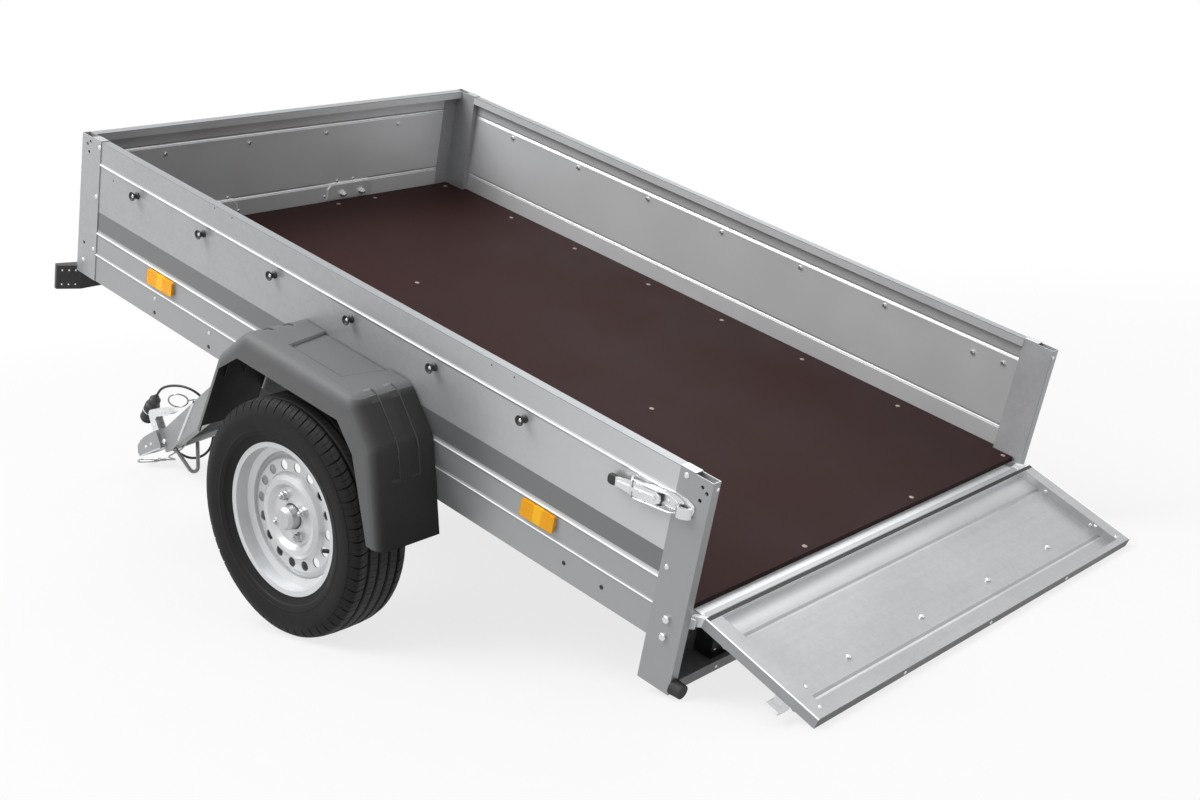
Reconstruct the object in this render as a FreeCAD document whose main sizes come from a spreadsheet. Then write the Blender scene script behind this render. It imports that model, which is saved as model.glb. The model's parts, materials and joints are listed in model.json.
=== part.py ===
import FreeCAD, Part
import math
import os

import Sketcher
from FreeCAD import Placement, Rotation, Vector

# A single-axle utility trailer with a tipping bed and a V drawbar, shown tipped:
# the bed rests on its wheels and its two tail feet, the tailgate lies open on the ground
# and the drawbar stands on its bent prop. Three frames are used, all with Y to the left:
# bed frame, origin on the wheel axis, X forward and Z square to the floor;
# drawbar frame, origin on its hinge pin, X along the bars towards the coupling;
# tailgate frame, origin on its hinge pin, drawn closed and upright.

doc = FreeCAD.newDocument("Trailer")
sheet = doc.addObject("Spreadsheet::Sheet", "Sizes")

DRIVING = {
    # bed
    "box_length": 2060, "box_width": 1296, "tail_reach": 985, "floor_top": 233,
    "floor_board": 12, "floor_setback": 23, "wall_top": 523, "wall_foot": 154,
    "wall_sheet": 2, "rim_width": 22, "rim_drop": 20, "bead_rise": 2.5, "bead_half": 6,
    "upper_bead": 464, "lower_bead": 283, "crease": 225,
    "post_width": 80, "post_depth": 22, "post_sheet": 2, "tail_post_foot": 56,
    "cap_length": 36, "corner_leg": 68, "fixing_hole": 4,
    "bearer_depth": 60, "bearer_width": 35, "bearer_sheet": 3,
    "sill_reach": 996, "beam_foot": 57, "beam_depth": 76, "beam_height": 100,
    "beam_sheet": 3, "beam_lip": 23,
    # running gear
    "tyre_radius": 273.6, "tyre_width": 155, "wheel_track_half": 749, "rim_radius": 182,
    "seat_radius": 165, "well_radius": 150, "rim_half": 61, "rim_sheet": 4,
    "mount_face": 26, "disc_sheet": 3, "vent_circle": 116, "vent_radius": 11.5,
    "vent_phase": 18.6, "spindle_radius": 15, "hub_clearance": 0.05, "hub_radius": 33,
    "flange_radius": 64, "spigot_radius": 29, "cap_radius": 27, "cap_reach": 29,
    "beam_tube": 60, "beam_wall": 4, "beam_x": 125, "beam_z": 118,
    # fender
    "fender_top": 380, "fender_foot": 82, "fender_half_foot": 326, "fender_half_mid": 267,
    "fender_half_top": 184, "fender_mid": 291, "fender_outer": 818, "fender_wall": 4,
    "fender_edge": 27, "fender_bend": 45, "recess_depth": 7,
    "groove_depth": 3.5, "groove_width": 24, "groove_foot": 222,
    # tailgate
    "gate_pivot_x": 987, "gate_pivot_z": 217, "gate_foot": 238, "gate_height": 292,
    "gate_front": 962, "gate_depth": 22, "gate_gap": 5, "gate_sheet": 2, "gate_stile": 41,
    "gate_rail": 15, "pin_radius": 6, "pin_clearance": 0.05,
    # drawbar
    "hinge_x": 450, "hinge_z": 112, "bar_reach": 1383, "bar_angle": 23, "bar_half": 34.5,
    "bar_sheet": 3, "bar_flange": 34, "bar_lip": 13, "bar_end": 1348, "bar_end_half": 22,
    "bar_heel": 24, "bush_radius": 11, "prop_x": 1257, "prop_drop": 128, "prop_spread": 42,
    "prop_rod": 6, "prop_bend": 17, "ball_x": 1455, "ball_radius": 25, "head_half": 33,
    "head_wall": 4, "nose_reach": 1501,
    # small fittings
    "foot_length": 25, "foot_base": 17, "foot_end": 15, "foot_z": 73.4,
    "knob_pitch": 268.5, "knob_first": 834.5, "knob_z": 440, "knob_head": 11, "knob_stem": 5,
    "front_knob_pitch": 268, "gate_knob_pitch": 263,
    # cords
    "cable_radius": 4, "wire_radius": 2.5,
}


class Size:
    """A length with the sheet expression that gives it, so a feature can be bound to both."""

    def __init__(self, value, text):
        self.value = float(value)
        self.text = text

    @staticmethod
    def of(number):
        if isinstance(number, Size):
            return number
        return Size(number, repr(round(float(number), 6)))

    def join(self, other, sign, value):
        return Size(value, "(" + self.text + " " + sign + " " + other.text + ")")

    def __add__(self, other):
        other = Size.of(other)
        return self.join(other, "+", self.value + other.value)

    def __radd__(self, other):
        return Size.of(other) + self

    def __sub__(self, other):
        other = Size.of(other)
        return self.join(other, "-", self.value - other.value)

    def __rsub__(self, other):
        return Size.of(other) - self

    def __mul__(self, other):
        other = Size.of(other)
        return self.join(other, "*", self.value * other.value)

    def __rmul__(self, other):
        return Size.of(other) * self

    def __truediv__(self, other):
        other = Size.of(other)
        return self.join(other, "/", self.value / other.value)

    def __neg__(self):
        return Size(-self.value, "(-1 * " + self.text + ")")


class Driving:
    """Each driving dimension by name, as a Size bound to its cell."""

    def __getattr__(self, name):
        return Size(DRIVING[name], "Sizes." + name)


for row, (alias, value) in enumerate(DRIVING.items(), start=1):
    sheet.set("A" + str(row), alias)
    sheet.set("B" + str(row), str(value))
    sheet.setAlias("B" + str(row), alias)
doc.recompute()
D = Driving()

LEFT, RIGHT = 1, -1
SIDES = (("left", LEFT), ("right", RIGHT))
AXIS_Y = Vector(0, 1, 0)


# Where the parts stand


def resting_angle(reach, height, target):
    """Turn a about Y for which reach sin a + height cos a = target."""
    radius = math.hypot(reach, height)
    return math.asin(target / radius) - math.atan2(height, reach)


def bed_tilt():
    """Nose-up tilt that puts the tail feet's lowest edge on the ground."""
    reach = DRIVING["tail_reach"] + DRIVING["foot_length"]
    drop = DRIVING["foot_z"] - DRIVING["foot_end"]
    return resting_angle(reach, -drop, DRIVING["tyre_radius"])


TILT = bed_tilt()


def bed_point(x, z):
    """Height above ground and distance ahead of the wheel axis of a bed-frame point."""
    ahead = x * math.cos(TILT) - z * math.sin(TILT)
    height = DRIVING["tyre_radius"] + x * math.sin(TILT) + z * math.cos(TILT)
    return ahead, height


HINGE_X, HINGE_Z = bed_point(DRIVING["hinge_x"], DRIVING["hinge_z"])
GATE_X, GATE_Z = bed_point(-DRIVING["gate_pivot_x"], DRIVING["gate_pivot_z"])


def drawbar_dip():
    """Nose-down angle that stands the prop's bent rod on the ground."""
    rod = DRIVING["prop_rod"]
    return resting_angle(DRIVING["prop_x"], DRIVING["prop_drop"] - rod, HINGE_Z - rod)


DIP = drawbar_dip()
GATE_TOP = DRIVING["gate_foot"] + DRIVING["gate_height"] - DRIVING["gate_pivot_z"]
GATE_INNER = DRIVING["gate_pivot_x"] - DRIVING["gate_front"]
GATE_OUTER = GATE_INNER - DRIVING["gate_depth"]


def gate_turn():
    """Turn from upright that lays the tailgate's outer edge on the ground."""
    radius = math.hypot(GATE_TOP, GATE_OUTER)
    return math.acos(-GATE_Z / radius) + math.atan2(GATE_OUTER, GATE_TOP)


GATE_TURN = gate_turn()


def front_and_rear():
    """Foremost and rearmost points: the coupling's nose and the tailgate's inner edge."""
    nose_height = 12
    front = HINGE_X + DRIVING["nose_reach"] * math.cos(DIP) + nose_height * math.sin(DIP)
    rear = GATE_X - GATE_TOP * math.sin(GATE_TURN) + GATE_INNER * math.cos(GATE_TURN)
    return front, rear


FRONT, REAR = front_and_rear()
SHIFT = -(FRONT + REAR) / 2


def turned(x, z, degrees_down):
    return Placement(Vector(x + SHIFT, 0, z), Rotation(AXIS_Y, degrees_down))


BED = turned(0, DRIVING["tyre_radius"], -math.degrees(TILT))
DRAWBAR = turned(HINGE_X, HINGE_Z, math.degrees(DIP))
GATE = turned(GATE_X, GATE_Z, -math.degrees(GATE_TURN))


# Sketching and shaping


def new_body(label, many=False):
    body = doc.addObject("PartDesign::Body", label)
    body.Label = label
    body.AllowCompound = many
    return body


def origin_plane(body, role):
    return [item for item in body.Origin.OriginFeatures if item.Role == role][0]


def new_sketch(body, role, offset):
    """Sketch on the body's own origin plane, moved along that plane's normal."""
    number = len([item for item in body.Group if item.isDerivedFrom("Sketcher::SketchObject")])
    sketch = body.newObject("Sketcher::SketchObject", body.Label + "_sketch_" + str(number + 1))
    sketch.AttachmentSupport = [(origin_plane(body, role), "")]
    sketch.MapMode = "FlatFace"
    sketch.AttachmentOffset = Placement(Vector(0, 0, offset.value), Rotation())
    sketch.setExpression("AttachmentOffset.Base.z", offset.text)
    return sketch


def hold_point(sketch, geometry, end, x, y):
    """Hold one end or centre of a curve at a place given by two sizes."""
    for rule, place, axis in (("DistanceX", x, -2), ("DistanceY", y, -1)):
        if abs(place.value) < 1e-9:
            sketch.addConstraint(Sketcher.Constraint("PointOnObject", geometry, end, axis))
            continue
        held = Sketcher.Constraint(rule, -1, 1, geometry, end, place.value)
        number = sketch.addConstraint(held)
        sketch.setExpression("Constraints[" + str(number) + "]", place.text)


def add_outline(sketch, points):
    """Closed outline of straight runs through points given as pairs of sizes."""
    corners = [(Size.of(x), Size.of(y)) for x, y in points]
    first = sketch.GeometryCount
    count = len(corners)
    for index in range(count):
        start = corners[index]
        end = corners[(index + 1) % count]
        start_point = Vector(start[0].value, start[1].value, 0)
        end_point = Vector(end[0].value, end[1].value, 0)
        sketch.addGeometry(Part.LineSegment(start_point, end_point))
    for index in range(count):
        following = first + (index + 1) % count
        sketch.addConstraint(Sketcher.Constraint("Coincident", first + index, 2, following, 1))
    for index, corner in enumerate(corners):
        hold_point(sketch, first + index, 1, corner[0], corner[1])


def add_circle(sketch, x, y, radius):
    x, y, radius = Size.of(x), Size.of(y), Size.of(radius)
    centre = Vector(x.value, y.value, 0)
    number = sketch.addGeometry(Part.Circle(centre, Vector(0, 0, 1), radius.value))
    rule = sketch.addConstraint(Sketcher.Constraint("Radius", number, radius.value))
    sketch.setExpression("Constraints[" + str(rule) + "]", radius.text)
    hold_point(sketch, number, 3, x, y)


def run_between(body, role, low, high, draw, cut=False):
    """Pad or pocket what draw puts in a sketch, between two places along X, Y or Z.
    The XZ plane's own normal points to -Y, so there the sketch starts at the high end."""
    low, high = Size.of(low), Size.of(high)
    if low.value > high.value:
        low, high = high, low
    start = -high if role == "XZ_Plane" else low
    sketch = new_sketch(body, role, start)
    draw(sketch)
    kind = "PartDesign::Pocket" if cut else "PartDesign::Pad"
    feature = body.newObject(kind, sketch.Label + ("_cut" if cut else "_pad"))
    feature.Profile = sketch
    length = high - low
    feature.Length = length.value
    feature.setExpression("Length", length.text)
    feature.Reversed = bool(cut)
    body.Tip = feature
    return feature


def extrude(body, role, points, low, high, cut=False):
    return run_between(body, role, low, high, lambda sketch: add_outline(sketch, points), cut)


def drum(body, role, x, y, radius, low, high, cut=False):
    return run_between(body, role, low, high, lambda sketch: add_circle(sketch, x, y, radius), cut)


def tube(body, role, outer, inner, low, high):
    def draw(sketch):
        add_outline(sketch, outer)
        add_outline(sketch, inner)
    return run_between(body, role, low, high, draw)


def rectangle(x, y):
    return [(x[0], y[0]), (x[1], y[0]), (x[1], y[1]), (x[0], y[1])]


def box(body, x, y, z, cut=False):
    """Straight-sided block between pairs of places along X, Y and Z."""
    return extrude(body, "XY_Plane", rectangle(x, y), z[0], z[1], cut)


def revolve(body, role, points, cut=False):
    """Turn an outline a full circle about the sketch's horizontal axis."""
    sketch = new_sketch(body, role, Size.of(0))
    add_outline(sketch, points)
    kind = "PartDesign::Groove" if cut else "PartDesign::Revolution"
    feature = body.newObject(kind, sketch.Label + ("_groove" if cut else "_turned"))
    feature.Profile = sketch
    feature.ReferenceAxis = (sketch, ["H_Axis"])
    feature.Angle = 360
    body.Tip = feature
    return feature


def round_edges(body, radius, chosen):
    """Round the edges of the body's tip for which chosen(edge) holds."""
    doc.recompute()
    base = body.Tip
    edges = enumerate(base.Shape.Edges, start=1)
    names = ["Edge" + str(number) for number, edge in edges if chosen(edge)]
    if not names:
        raise RuntimeError("no edge to round on " + body.Label)
    feature = body.newObject("PartDesign::Fillet", base.Label + "_rounded")
    feature.Base = (base, names)
    radius = Size.of(radius)
    feature.Radius = radius.value
    feature.setExpression("Radius", radius.text)
    body.Tip = feature
    return feature


def hollow(body, wall, open_face):
    """Shell the body's tip to a wall inside its faces, open where open_face(face) holds."""
    doc.recompute()
    base = body.Tip
    faces = enumerate(base.Shape.Faces, start=1)
    names = ["Face" + str(number) for number, face in faces if open_face(face)]
    if not names:
        raise RuntimeError("no face to open on " + body.Label)
    feature = body.newObject("PartDesign::Thickness", base.Label + "_shelled")
    feature.Base = (base, names)
    feature.Value = wall.value
    feature.setExpression("Value", wall.text)
    feature.Reversed = True
    feature.Join = 1
    body.Tip = feature
    return feature


def edge_along(axis):
    """Test for a straight edge that runs along the axis."""
    def test(edge):
        if edge.Curve.TypeId != "Part::GeomLine":
            return False
        return abs(getattr(edge.tangentAt(edge.FirstParameter), axis)) > 0.999
    return test


def repeat_round(body, feature, count):
    """Repeat a feature evenly about its sketch's own normal."""
    pattern = body.newObject("PartDesign::PolarPattern", feature.Label + "_round")
    pattern.Originals = [feature]
    pattern.Axis = (feature.Profile[0], ["N_Axis"])
    pattern.Angle = 360
    pattern.Occurrences = count
    body.Tip = pattern


def cord(label, points, radius, placement, least):
    """Tube along straight runs joined by tangent arcs, each as large as its two runs allow."""
    ends = [Vector(*point) for point in points]
    edges = []
    reached = ends[0]
    radii = []
    for before, corner, after in zip(ends, ends[1:], ends[2:]):
        inward = (corner - before).normalize()
        outward = (after - corner).normalize()
        turn = inward.getAngle(outward)
        setback = 0.45 * min((corner - before).Length, (after - corner).Length)
        bend = setback / math.tan(turn / 2)
        radii.append(bend)
        start = corner - inward * setback
        finish = corner + outward * setback
        middle_way = (outward - inward).normalize()
        middle = corner + middle_way * (bend / math.cos(turn / 2) - bend)
        edges.append(Part.LineSegment(reached, start).toShape())
        edges.append(Part.Arc(start, middle, finish).toShape())
        reached = finish
    edges.append(Part.LineSegment(reached, ends[-1]).toShape())
    path = Part.Wire(edges)
    section = Part.Circle(ends[0], ends[1] - ends[0], radius).toShape()
    swept = path.makePipeShell([Part.Wire([section])], True, False)
    expected = math.pi * radius ** 2 * path.Length
    print(label, "length", round(path.Length), "least radius", round(min(radii), 1),
          "volume", round(swept.Volume / expected, 4))
    if min(radii) < least:
        raise RuntimeError("too tight a bend in " + label)
    feature = doc.addObject("Part::Feature", label)
    feature.Label = label
    feature.Shape = swept
    feature.Placement = placement
    return feature


# Bed


HALF = D.box_width / 2
WALL_OUT = HALF - D.post_sheet
REAR_END = -D.tail_reach
FRONT_END = D.box_length - D.tail_reach
FRONT_OUT = FRONT_END - D.post_sheet
BOARD_FOOT = D.floor_top - D.floor_board
BEARER_FOOT = BOARD_FOOT - D.bearer_depth


def wall_profile(face, inward):
    """Section of a folded wall: foot flange, sheet with beads, and a rim turned over inward.
    face is the sheet's outer face and inward is +1 or -1 towards the load space."""
    def at(depth):
        return face + inward * Size.of(depth)
    skin = D.wall_sheet
    points = [(at(D.rim_width), D.wall_foot), (at(0), D.wall_foot)]
    for middle in (D.crease, D.lower_bead, D.upper_bead):
        points += [(at(0), middle - D.bead_half), (at(-D.bead_rise), middle),
                   (at(0), middle + D.bead_half)]
    rim_foot = D.wall_top - D.rim_drop
    points += [(at(0), D.wall_top), (at(D.rim_width), D.wall_top), (at(D.rim_width), rim_foot),
               (at(D.rim_width - 6), rim_foot), (at(D.rim_width - 6), rim_foot + skin),
               (at(D.rim_width - skin), rim_foot + skin),
               (at(D.rim_width - skin), D.wall_top - skin), (at(skin), D.wall_top - skin)]
    for middle in (D.upper_bead, D.lower_bead, D.crease):
        points += [(at(skin), middle + D.bead_half), (at(skin - D.bead_rise), middle),
                   (at(skin), middle - D.bead_half)]
    points += [(at(skin), D.wall_foot + skin), (at(D.rim_width), D.wall_foot + skin)]
    return points


def side_wall(name, side):
    body = new_body("side_wall_" + name)
    extrude(body, "YZ_Plane", wall_profile(side * WALL_OUT, -side),
            REAR_END + D.post_width, FRONT_END - D.post_width)
    body.Placement = BED


def front_wall():
    body = new_body("front_wall")
    extrude(body, "XZ_Plane", wall_profile(FRONT_OUT, -1),
            -(HALF - D.post_depth), HALF - D.post_depth)
    body.Placement = BED


def floor_panel():
    """Board let into the walls, notched round the four posts."""
    body = new_body("floor_panel")
    inner = WALL_OUT - D.wall_sheet - 1
    front = FRONT_OUT - D.wall_sheet - 5
    levels = (BOARD_FOOT, D.floor_top)
    box(body, (REAR_END + D.floor_setback, front), (-inner, inner), levels)
    notch = HALF - D.post_depth - 0.5
    for end, inward in ((REAR_END, 1), (FRONT_END, -1)):
        reach = end + inward * (D.post_width + 0.5)
        for side in (LEFT, RIGHT):
            box(body, (end, reach), (side * notch, side * HALF), levels, cut=True)
    body.Placement = BED


def post(name, side, end, inward, foot, holes):
    """Corner post: a folded box section, open at its ends, with the wall rim's cap over
    its inner half and spare fixing holes through its outer face."""
    body = new_body("post_" + name)
    skin = D.post_sheet
    far = end + inward * D.post_width
    face = side * HALF
    back = side * (HALF - D.post_depth)
    outer = rectangle((end, far), (face, back))
    inner = rectangle((end + inward * skin, far - inward * skin),
                      (face - side * skin, back + side * skin))
    tube(body, "XY_Plane", outer, inner, foot, D.wall_top)
    cap = rectangle((far, far - inward * D.cap_length), (face, back))
    extrude(body, "XY_Plane", cap, D.wall_top - 1, D.wall_top + skin)
    for inset, height in holes:
        drum(body, "XZ_Plane", end + inward * inset, height, D.fixing_hole,
             face - side * 3, face + side * 1, cut=True)
    return body


def rear_post(name, side):
    holes = ((23, 505), (11, 497), (23, 477))
    body = post("rear_" + name, side, REAR_END, 1, D.tail_post_foot, holes)
    body.Placement = BED


def front_post(name, side):
    """Front post with the leg that laps the front wall inside the corner."""
    holes = ((35, 510), (23, 501), (31, 483), (27, 240))
    body = post("front_" + name, side, FRONT_END, -1, D.wall_foot, holes)
    inside = FRONT_OUT - D.wall_sheet
    box(body, (inside - D.post_sheet, inside),
        (side * (HALF - D.post_depth), side * (HALF - D.corner_leg)),
        (D.floor_top + 1, D.wall_top - D.rim_drop - 1))
    body.Placement = BED


def rear_sill():
    """Folded strip along the floor's rear edge, over the tailgate's hinges."""
    body = new_body("rear_sill")
    edge = REAR_END + D.floor_setback
    top = BOARD_FOOT
    points = [(edge + 60, top), (-D.sill_reach, top), (-D.sill_reach, top - 14),
              (2 - D.sill_reach, top - 14), (2 - D.sill_reach, top - 2), (edge + 27, top - 2),
              (edge + 27, top - 62), (edge + 60, top - 62), (edge + 60, top - 60),
              (edge + 29, top - 60), (edge + 29, top - 2), (edge + 60, top - 2)]
    extrude(body, "XZ_Plane", points, -590, 590)
    body.Placement = BED


def lamp_beam():
    """Dark folded channel between the rear posts' feet, which carries the lamps."""
    body = new_body("lamp_beam")
    skin = D.beam_sheet
    foot = D.beam_foot
    rear = REAR_END + 1
    front = REAR_END + D.beam_depth
    points = [(rear, foot), (front, foot), (front, foot + D.beam_height),
              (front - skin, foot + D.beam_height), (front - skin, foot + skin),
              (rear + skin, foot + skin), (rear + skin, foot + D.beam_lip),
              (rear, foot + D.beam_lip)]
    inner = HALF - D.post_depth
    extrude(body, "XZ_Plane", points, -inner, inner)
    body.Placement = BED


def floor_bearers():
    """Folded channels under the floor, from side wall to side wall."""
    body = new_body("floor_bearers", many=True)
    skin = D.bearer_sheet
    inner = WALL_OUT - D.rim_width - 1
    for place in (1020, 736, 516, 215, 10, -300, -672):
        rear = Size.of(place) - D.bearer_width / 2
        front = Size.of(place) + D.bearer_width / 2
        points = [(rear, BOARD_FOOT), (front, BOARD_FOOT), (front, BEARER_FOOT),
                  (front - skin, BEARER_FOOT), (front - skin, BOARD_FOOT - skin),
                  (rear + skin, BOARD_FOOT - skin), (rear + skin, BEARER_FOOT),
                  (rear, BEARER_FOOT)]
        extrude(body, "XZ_Plane", points, -inner, inner)
    body.Placement = BED


def axle_beam():
    """Square torsion tube hung from the bearers by two bent plates."""
    body = new_body("axle_beam")
    half = D.beam_tube / 2
    bore = half - D.beam_wall
    outer = rectangle((D.beam_x - half, D.beam_x + half), (D.beam_z - half, D.beam_z + half))
    inner = rectangle((D.beam_x - bore, D.beam_x + bore), (D.beam_z - bore, D.beam_z + bore))
    tube(body, "XZ_Plane", outer, inner, -560, 560)
    for side in (LEFT, RIGHT):
        box(body, (-10, 240), (side * 440, side * 520), (D.beam_z + half, D.beam_z + half + 6))
        web = [(D.beam_x - half, D.beam_z - 10), (D.beam_x - half, D.beam_z + half),
               (-10, D.beam_z + half), (-10, BEARER_FOOT), (240, BEARER_FOOT),
               (240, D.beam_z + half), (D.beam_x + half, D.beam_z + half),
               (D.beam_x + half, D.beam_z - 10)]
        extrude(body, "XZ_Plane", web, side * 520, side * 526)
    body.Placement = BED


def axle_arm(name, side):
    """Trailing arm with the wheel's spindle, pressed on the torsion tube's end."""
    body = new_body("axle_arm_" + name)
    inner, outer = 562, 600
    arm = [(D.beam_x - 36, D.beam_z + 36), (D.beam_x + 36, D.beam_z + 36),
           (D.beam_x + 36, D.beam_z - 30), (34, -30), (-20, -34), (-36, -8), (-30, 30)]
    extrude(body, "XZ_Plane", arm, side * inner, side * outer)
    round_edges(body, 12, edge_along("y"))
    drum(body, "XZ_Plane", 0, 0, 27, side * outer, side * 640)
    drum(body, "XZ_Plane", 0, 0, D.spindle_radius, side * 640, side * (D.wheel_track_half + 18))
    body.Placement = BED


def fender_outline(offset):
    """The mudguard's splayed outline from front foot to rear foot, moved in by offset."""
    shoulder = offset * 0.42
    top = D.fender_top - offset
    middle = D.fender_mid - shoulder
    half_foot = D.fender_half_foot - offset
    half_middle = D.fender_half_mid - offset
    half_top = D.fender_half_top - shoulder
    return [(half_foot, D.fender_foot), (half_middle, middle), (half_top, top),
            (-half_top, top), (-half_middle, middle), (-half_foot, D.fender_foot)]


def groove_outline(end, offset):
    """What a groove takes away, seen from the side: it follows the mudguard's rounded
    outline at its own depth, from the top over the shoulder and down the leg."""
    corners = [(point[0].value, point[1].value) for point in fender_outline(Size.of(0))]
    foot, middle, top = corners[:3]
    depth = DRIVING["groove_depth"] + offset
    bend = DRIVING["fender_bend"]

    def bent(before, corner, after):
        """Three points round a bend, at the depth below its outer face."""
        way_in = math.atan2(corner[1] - before[1], corner[0] - before[0])
        way_out = math.atan2(after[1] - corner[1], after[0] - corner[0])
        back = bend * math.tan((way_in - way_out) / 2)
        start = (corner[0] - back * math.cos(way_in), corner[1] - back * math.sin(way_in))
        centre = (start[0] + bend * math.sin(way_in), start[1] - bend * math.cos(way_in))
        found = []
        for way in (way_in, (way_in + way_out) / 2, way_out):
            reach = bend - depth
            found.append((centre[0] - reach * math.sin(way), centre[1] + reach * math.cos(way)))
        return found

    upper = bent((0, top[1]), top, middle)
    lower = bent(top, middle, foot)
    fall = (middle[0] - foot[0]) / (middle[1] - foot[1])
    low = DRIVING["groove_foot"] - offset
    leg = middle[0] + (low - middle[1]) * fall
    start = upper[0][0] - offset
    line = [(start - 6, top[1] + 3), (start, upper[0][1])] + upper[1:] + [lower[0], lower[2]]
    line += [(leg - depth, low + 1), (leg + 4, low - 5), (leg + 30, top[1]),
             (top[0], top[1] + 30)]
    return [(end * x, z) for x, z in line]


def fender_form(body, offset, near, side):
    """The mudguard's outer form, or the form of its hollow where offset is the wall."""
    far = side * (D.fender_outer - offset)
    outline = fender_outline(offset)
    extrude(body, "XZ_Plane", outline, near, far)
    round_edges(body, D.fender_bend - offset, bent_edge)
    rim = edge_in_plane("y", far.value, DRIVING["fender_foot"] + 8)
    round_edges(body, D.fender_edge - offset, rim)
    top = D.fender_top - D.recess_depth - offset
    edge = side * (764 + offset)
    wide = near - side * 8
    recess = [(-112 - offset, wide), (108 + offset, wide), (86 + offset, edge),
              (-90 - offset, edge)]
    extrude(body, "XY_Plane", recess, top, D.fender_top + 2, cut=True)
    half = D.groove_width / 2 + offset
    for place in (758, 703):
        for end in (1, -1):
            groove = groove_outline(end, offset.value)
            extrude(body, "XZ_Plane", groove, side * (place - half), side * (place + half),
                    cut=True)


def bent_edge(edge):
    """Edge across the mudguard where its top meets a shoulder or a shoulder meets a leg."""
    return edge_along("y")(edge) and edge.CenterOfMass.z > DRIVING["fender_foot"] + 8


def edge_in_plane(axis, place, above):
    """Test for an edge in the plane at a place along the axis, higher than a level."""
    def test(edge):
        centre = edge.CenterOfMass
        return abs(getattr(centre, axis) - place) < 0.01 and centre.z > above
    return test


def fender(name, side):
    """Moulded mudguard: a hollow form with a sunk top panel, rounded outer edges,
    two grooves over each shoulder and an arched opening outboard."""
    near = side * (HALF + 1)
    core = new_body("fender_hollow_" + name)
    fender_form(core, D.fender_wall, near - side * 6, side)
    body = new_body("fender_" + name)
    fender_form(body, Size.of(0), near, side)
    cut = body.newObject("PartDesign::Boolean", "fender_hollowed_" + name)
    cut.Type = "Cut"
    cut.setObjects([core])
    body.Tip = cut
    opening = [(305, 70), (250, 264), (190, 314), (-150, 317), (-208, 262), (-288, 70)]
    extrude(body, "XZ_Plane", opening, side * 775, side * 820, cut=True)
    body.Placement = BED


def tail_feet():
    """Rubber cones behind the rear posts' feet, which the tipped bed rests on."""
    cones = []
    for name, side in SIDES:
        cone = doc.addObject("Part::Cone", "tail_foot_" + name)
        cone.setExpression("Radius1", "Sizes.foot_base")
        cone.setExpression("Radius2", "Sizes.foot_end")
        cone.setExpression("Height", "Sizes.foot_length")
        middle = side * (HALF - D.post_depth / 2)
        place = Vector(REAR_END.value, middle.value, DRIVING["foot_z"])
        cone.Placement = Placement(place, Rotation(AXIS_Y, -90))
        cones.append(cone)
    group = doc.addObject("Part::Compound", "tail_feet")
    group.Label = "tail_feet"
    group.Links = cones
    group.Placement = BED


def marker_lamps():
    """Front position lamps under the front corners, swept forward at their outer ends."""
    body = new_body("marker_lamps", many=True)
    for side in (LEFT, RIGHT):
        plan = [(FRONT_END, side * 566), (FRONT_END, side * 634), (FRONT_END + 24, side * 691),
                (FRONT_END + 40, side * 688), (FRONT_END + 27, side * 634),
                (FRONT_END + 20, side * 566)]
        extrude(body, "XY_Plane", plan, 98, 163)
    round_edges(body, 5, edge_along("z"))
    body.Placement = BED


def side_reflectors():
    body = new_body("side_reflectors", many=True)
    for side in (LEFT, RIGHT):
        for middle, half in ((714, 50), (-588, 46)):
            box(body, (middle - half, middle + half),
                (side * WALL_OUT, side * (WALL_OUT + 8)), (240, 277))
    round_edges(body, 4, edge_along("y"))
    body.Placement = BED


def rear_lamps():
    """Combination lamps on the lamp beam, facing the rear."""
    body = new_body("rear_lamps", many=True)
    foot = D.beam_foot + D.beam_sheet
    for side in (LEFT, RIGHT):
        box(body, (-956, REAR_END + D.beam_depth - D.beam_sheet), (side * 286, side * 486),
            (foot, foot + 88))
    round_edges(body, 8, edge_along("x"))
    body.Placement = BED


def cover_knobs():
    """Round buttons for a cover's cord along the side walls and the front wall."""
    body = new_body("cover_knobs", many=True)
    for side in (LEFT, RIGHT):
        for number in range(6):
            place = D.knob_first - number * D.knob_pitch
            face = side * WALL_OUT
            drum(body, "XZ_Plane", place, D.knob_z, D.knob_stem, face, face + side * 10)
            drum(body, "XZ_Plane", place, D.knob_z, D.knob_head, face + side * 10, face + side * 17)
    for number in range(4):
        place = (number - 1.5) * D.front_knob_pitch
        drum(body, "YZ_Plane", place, D.knob_z, D.knob_stem, FRONT_OUT, FRONT_OUT + 10)
        drum(body, "YZ_Plane", place, D.knob_z, D.knob_head, FRONT_OUT + 10, FRONT_OUT + 17)
    body.Placement = BED


def latches():
    """Over-centre toggle latches on the side walls, which hook the tailgate's catches:
    a channel base, a bowed lever over it and a grip at its front end."""
    body = new_body("latches", many=True)
    for side in (LEFT, RIGHT):
        face = HALF
        base = [(-958, 438), (-950, 424), (-812, 416), (-800, 424), (-800, 440), (-812, 448),
                (-950, 462), (-958, 456)]
        extrude(body, "XZ_Plane", base, side * face, side * (face + 3))
        lever = [(-948, face + 3), (-948, face + 16), (-930, face + 22), (-880, face + 20),
                 (-812, face + 10), (-772, face + 9), (-764, face + 5), (-764, face + 1),
                 (-800, face + 3)]
        extrude(body, "XY_Plane", [(x, side * y) for x, y in lever], 424, 448)
    body.Placement = BED


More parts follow.
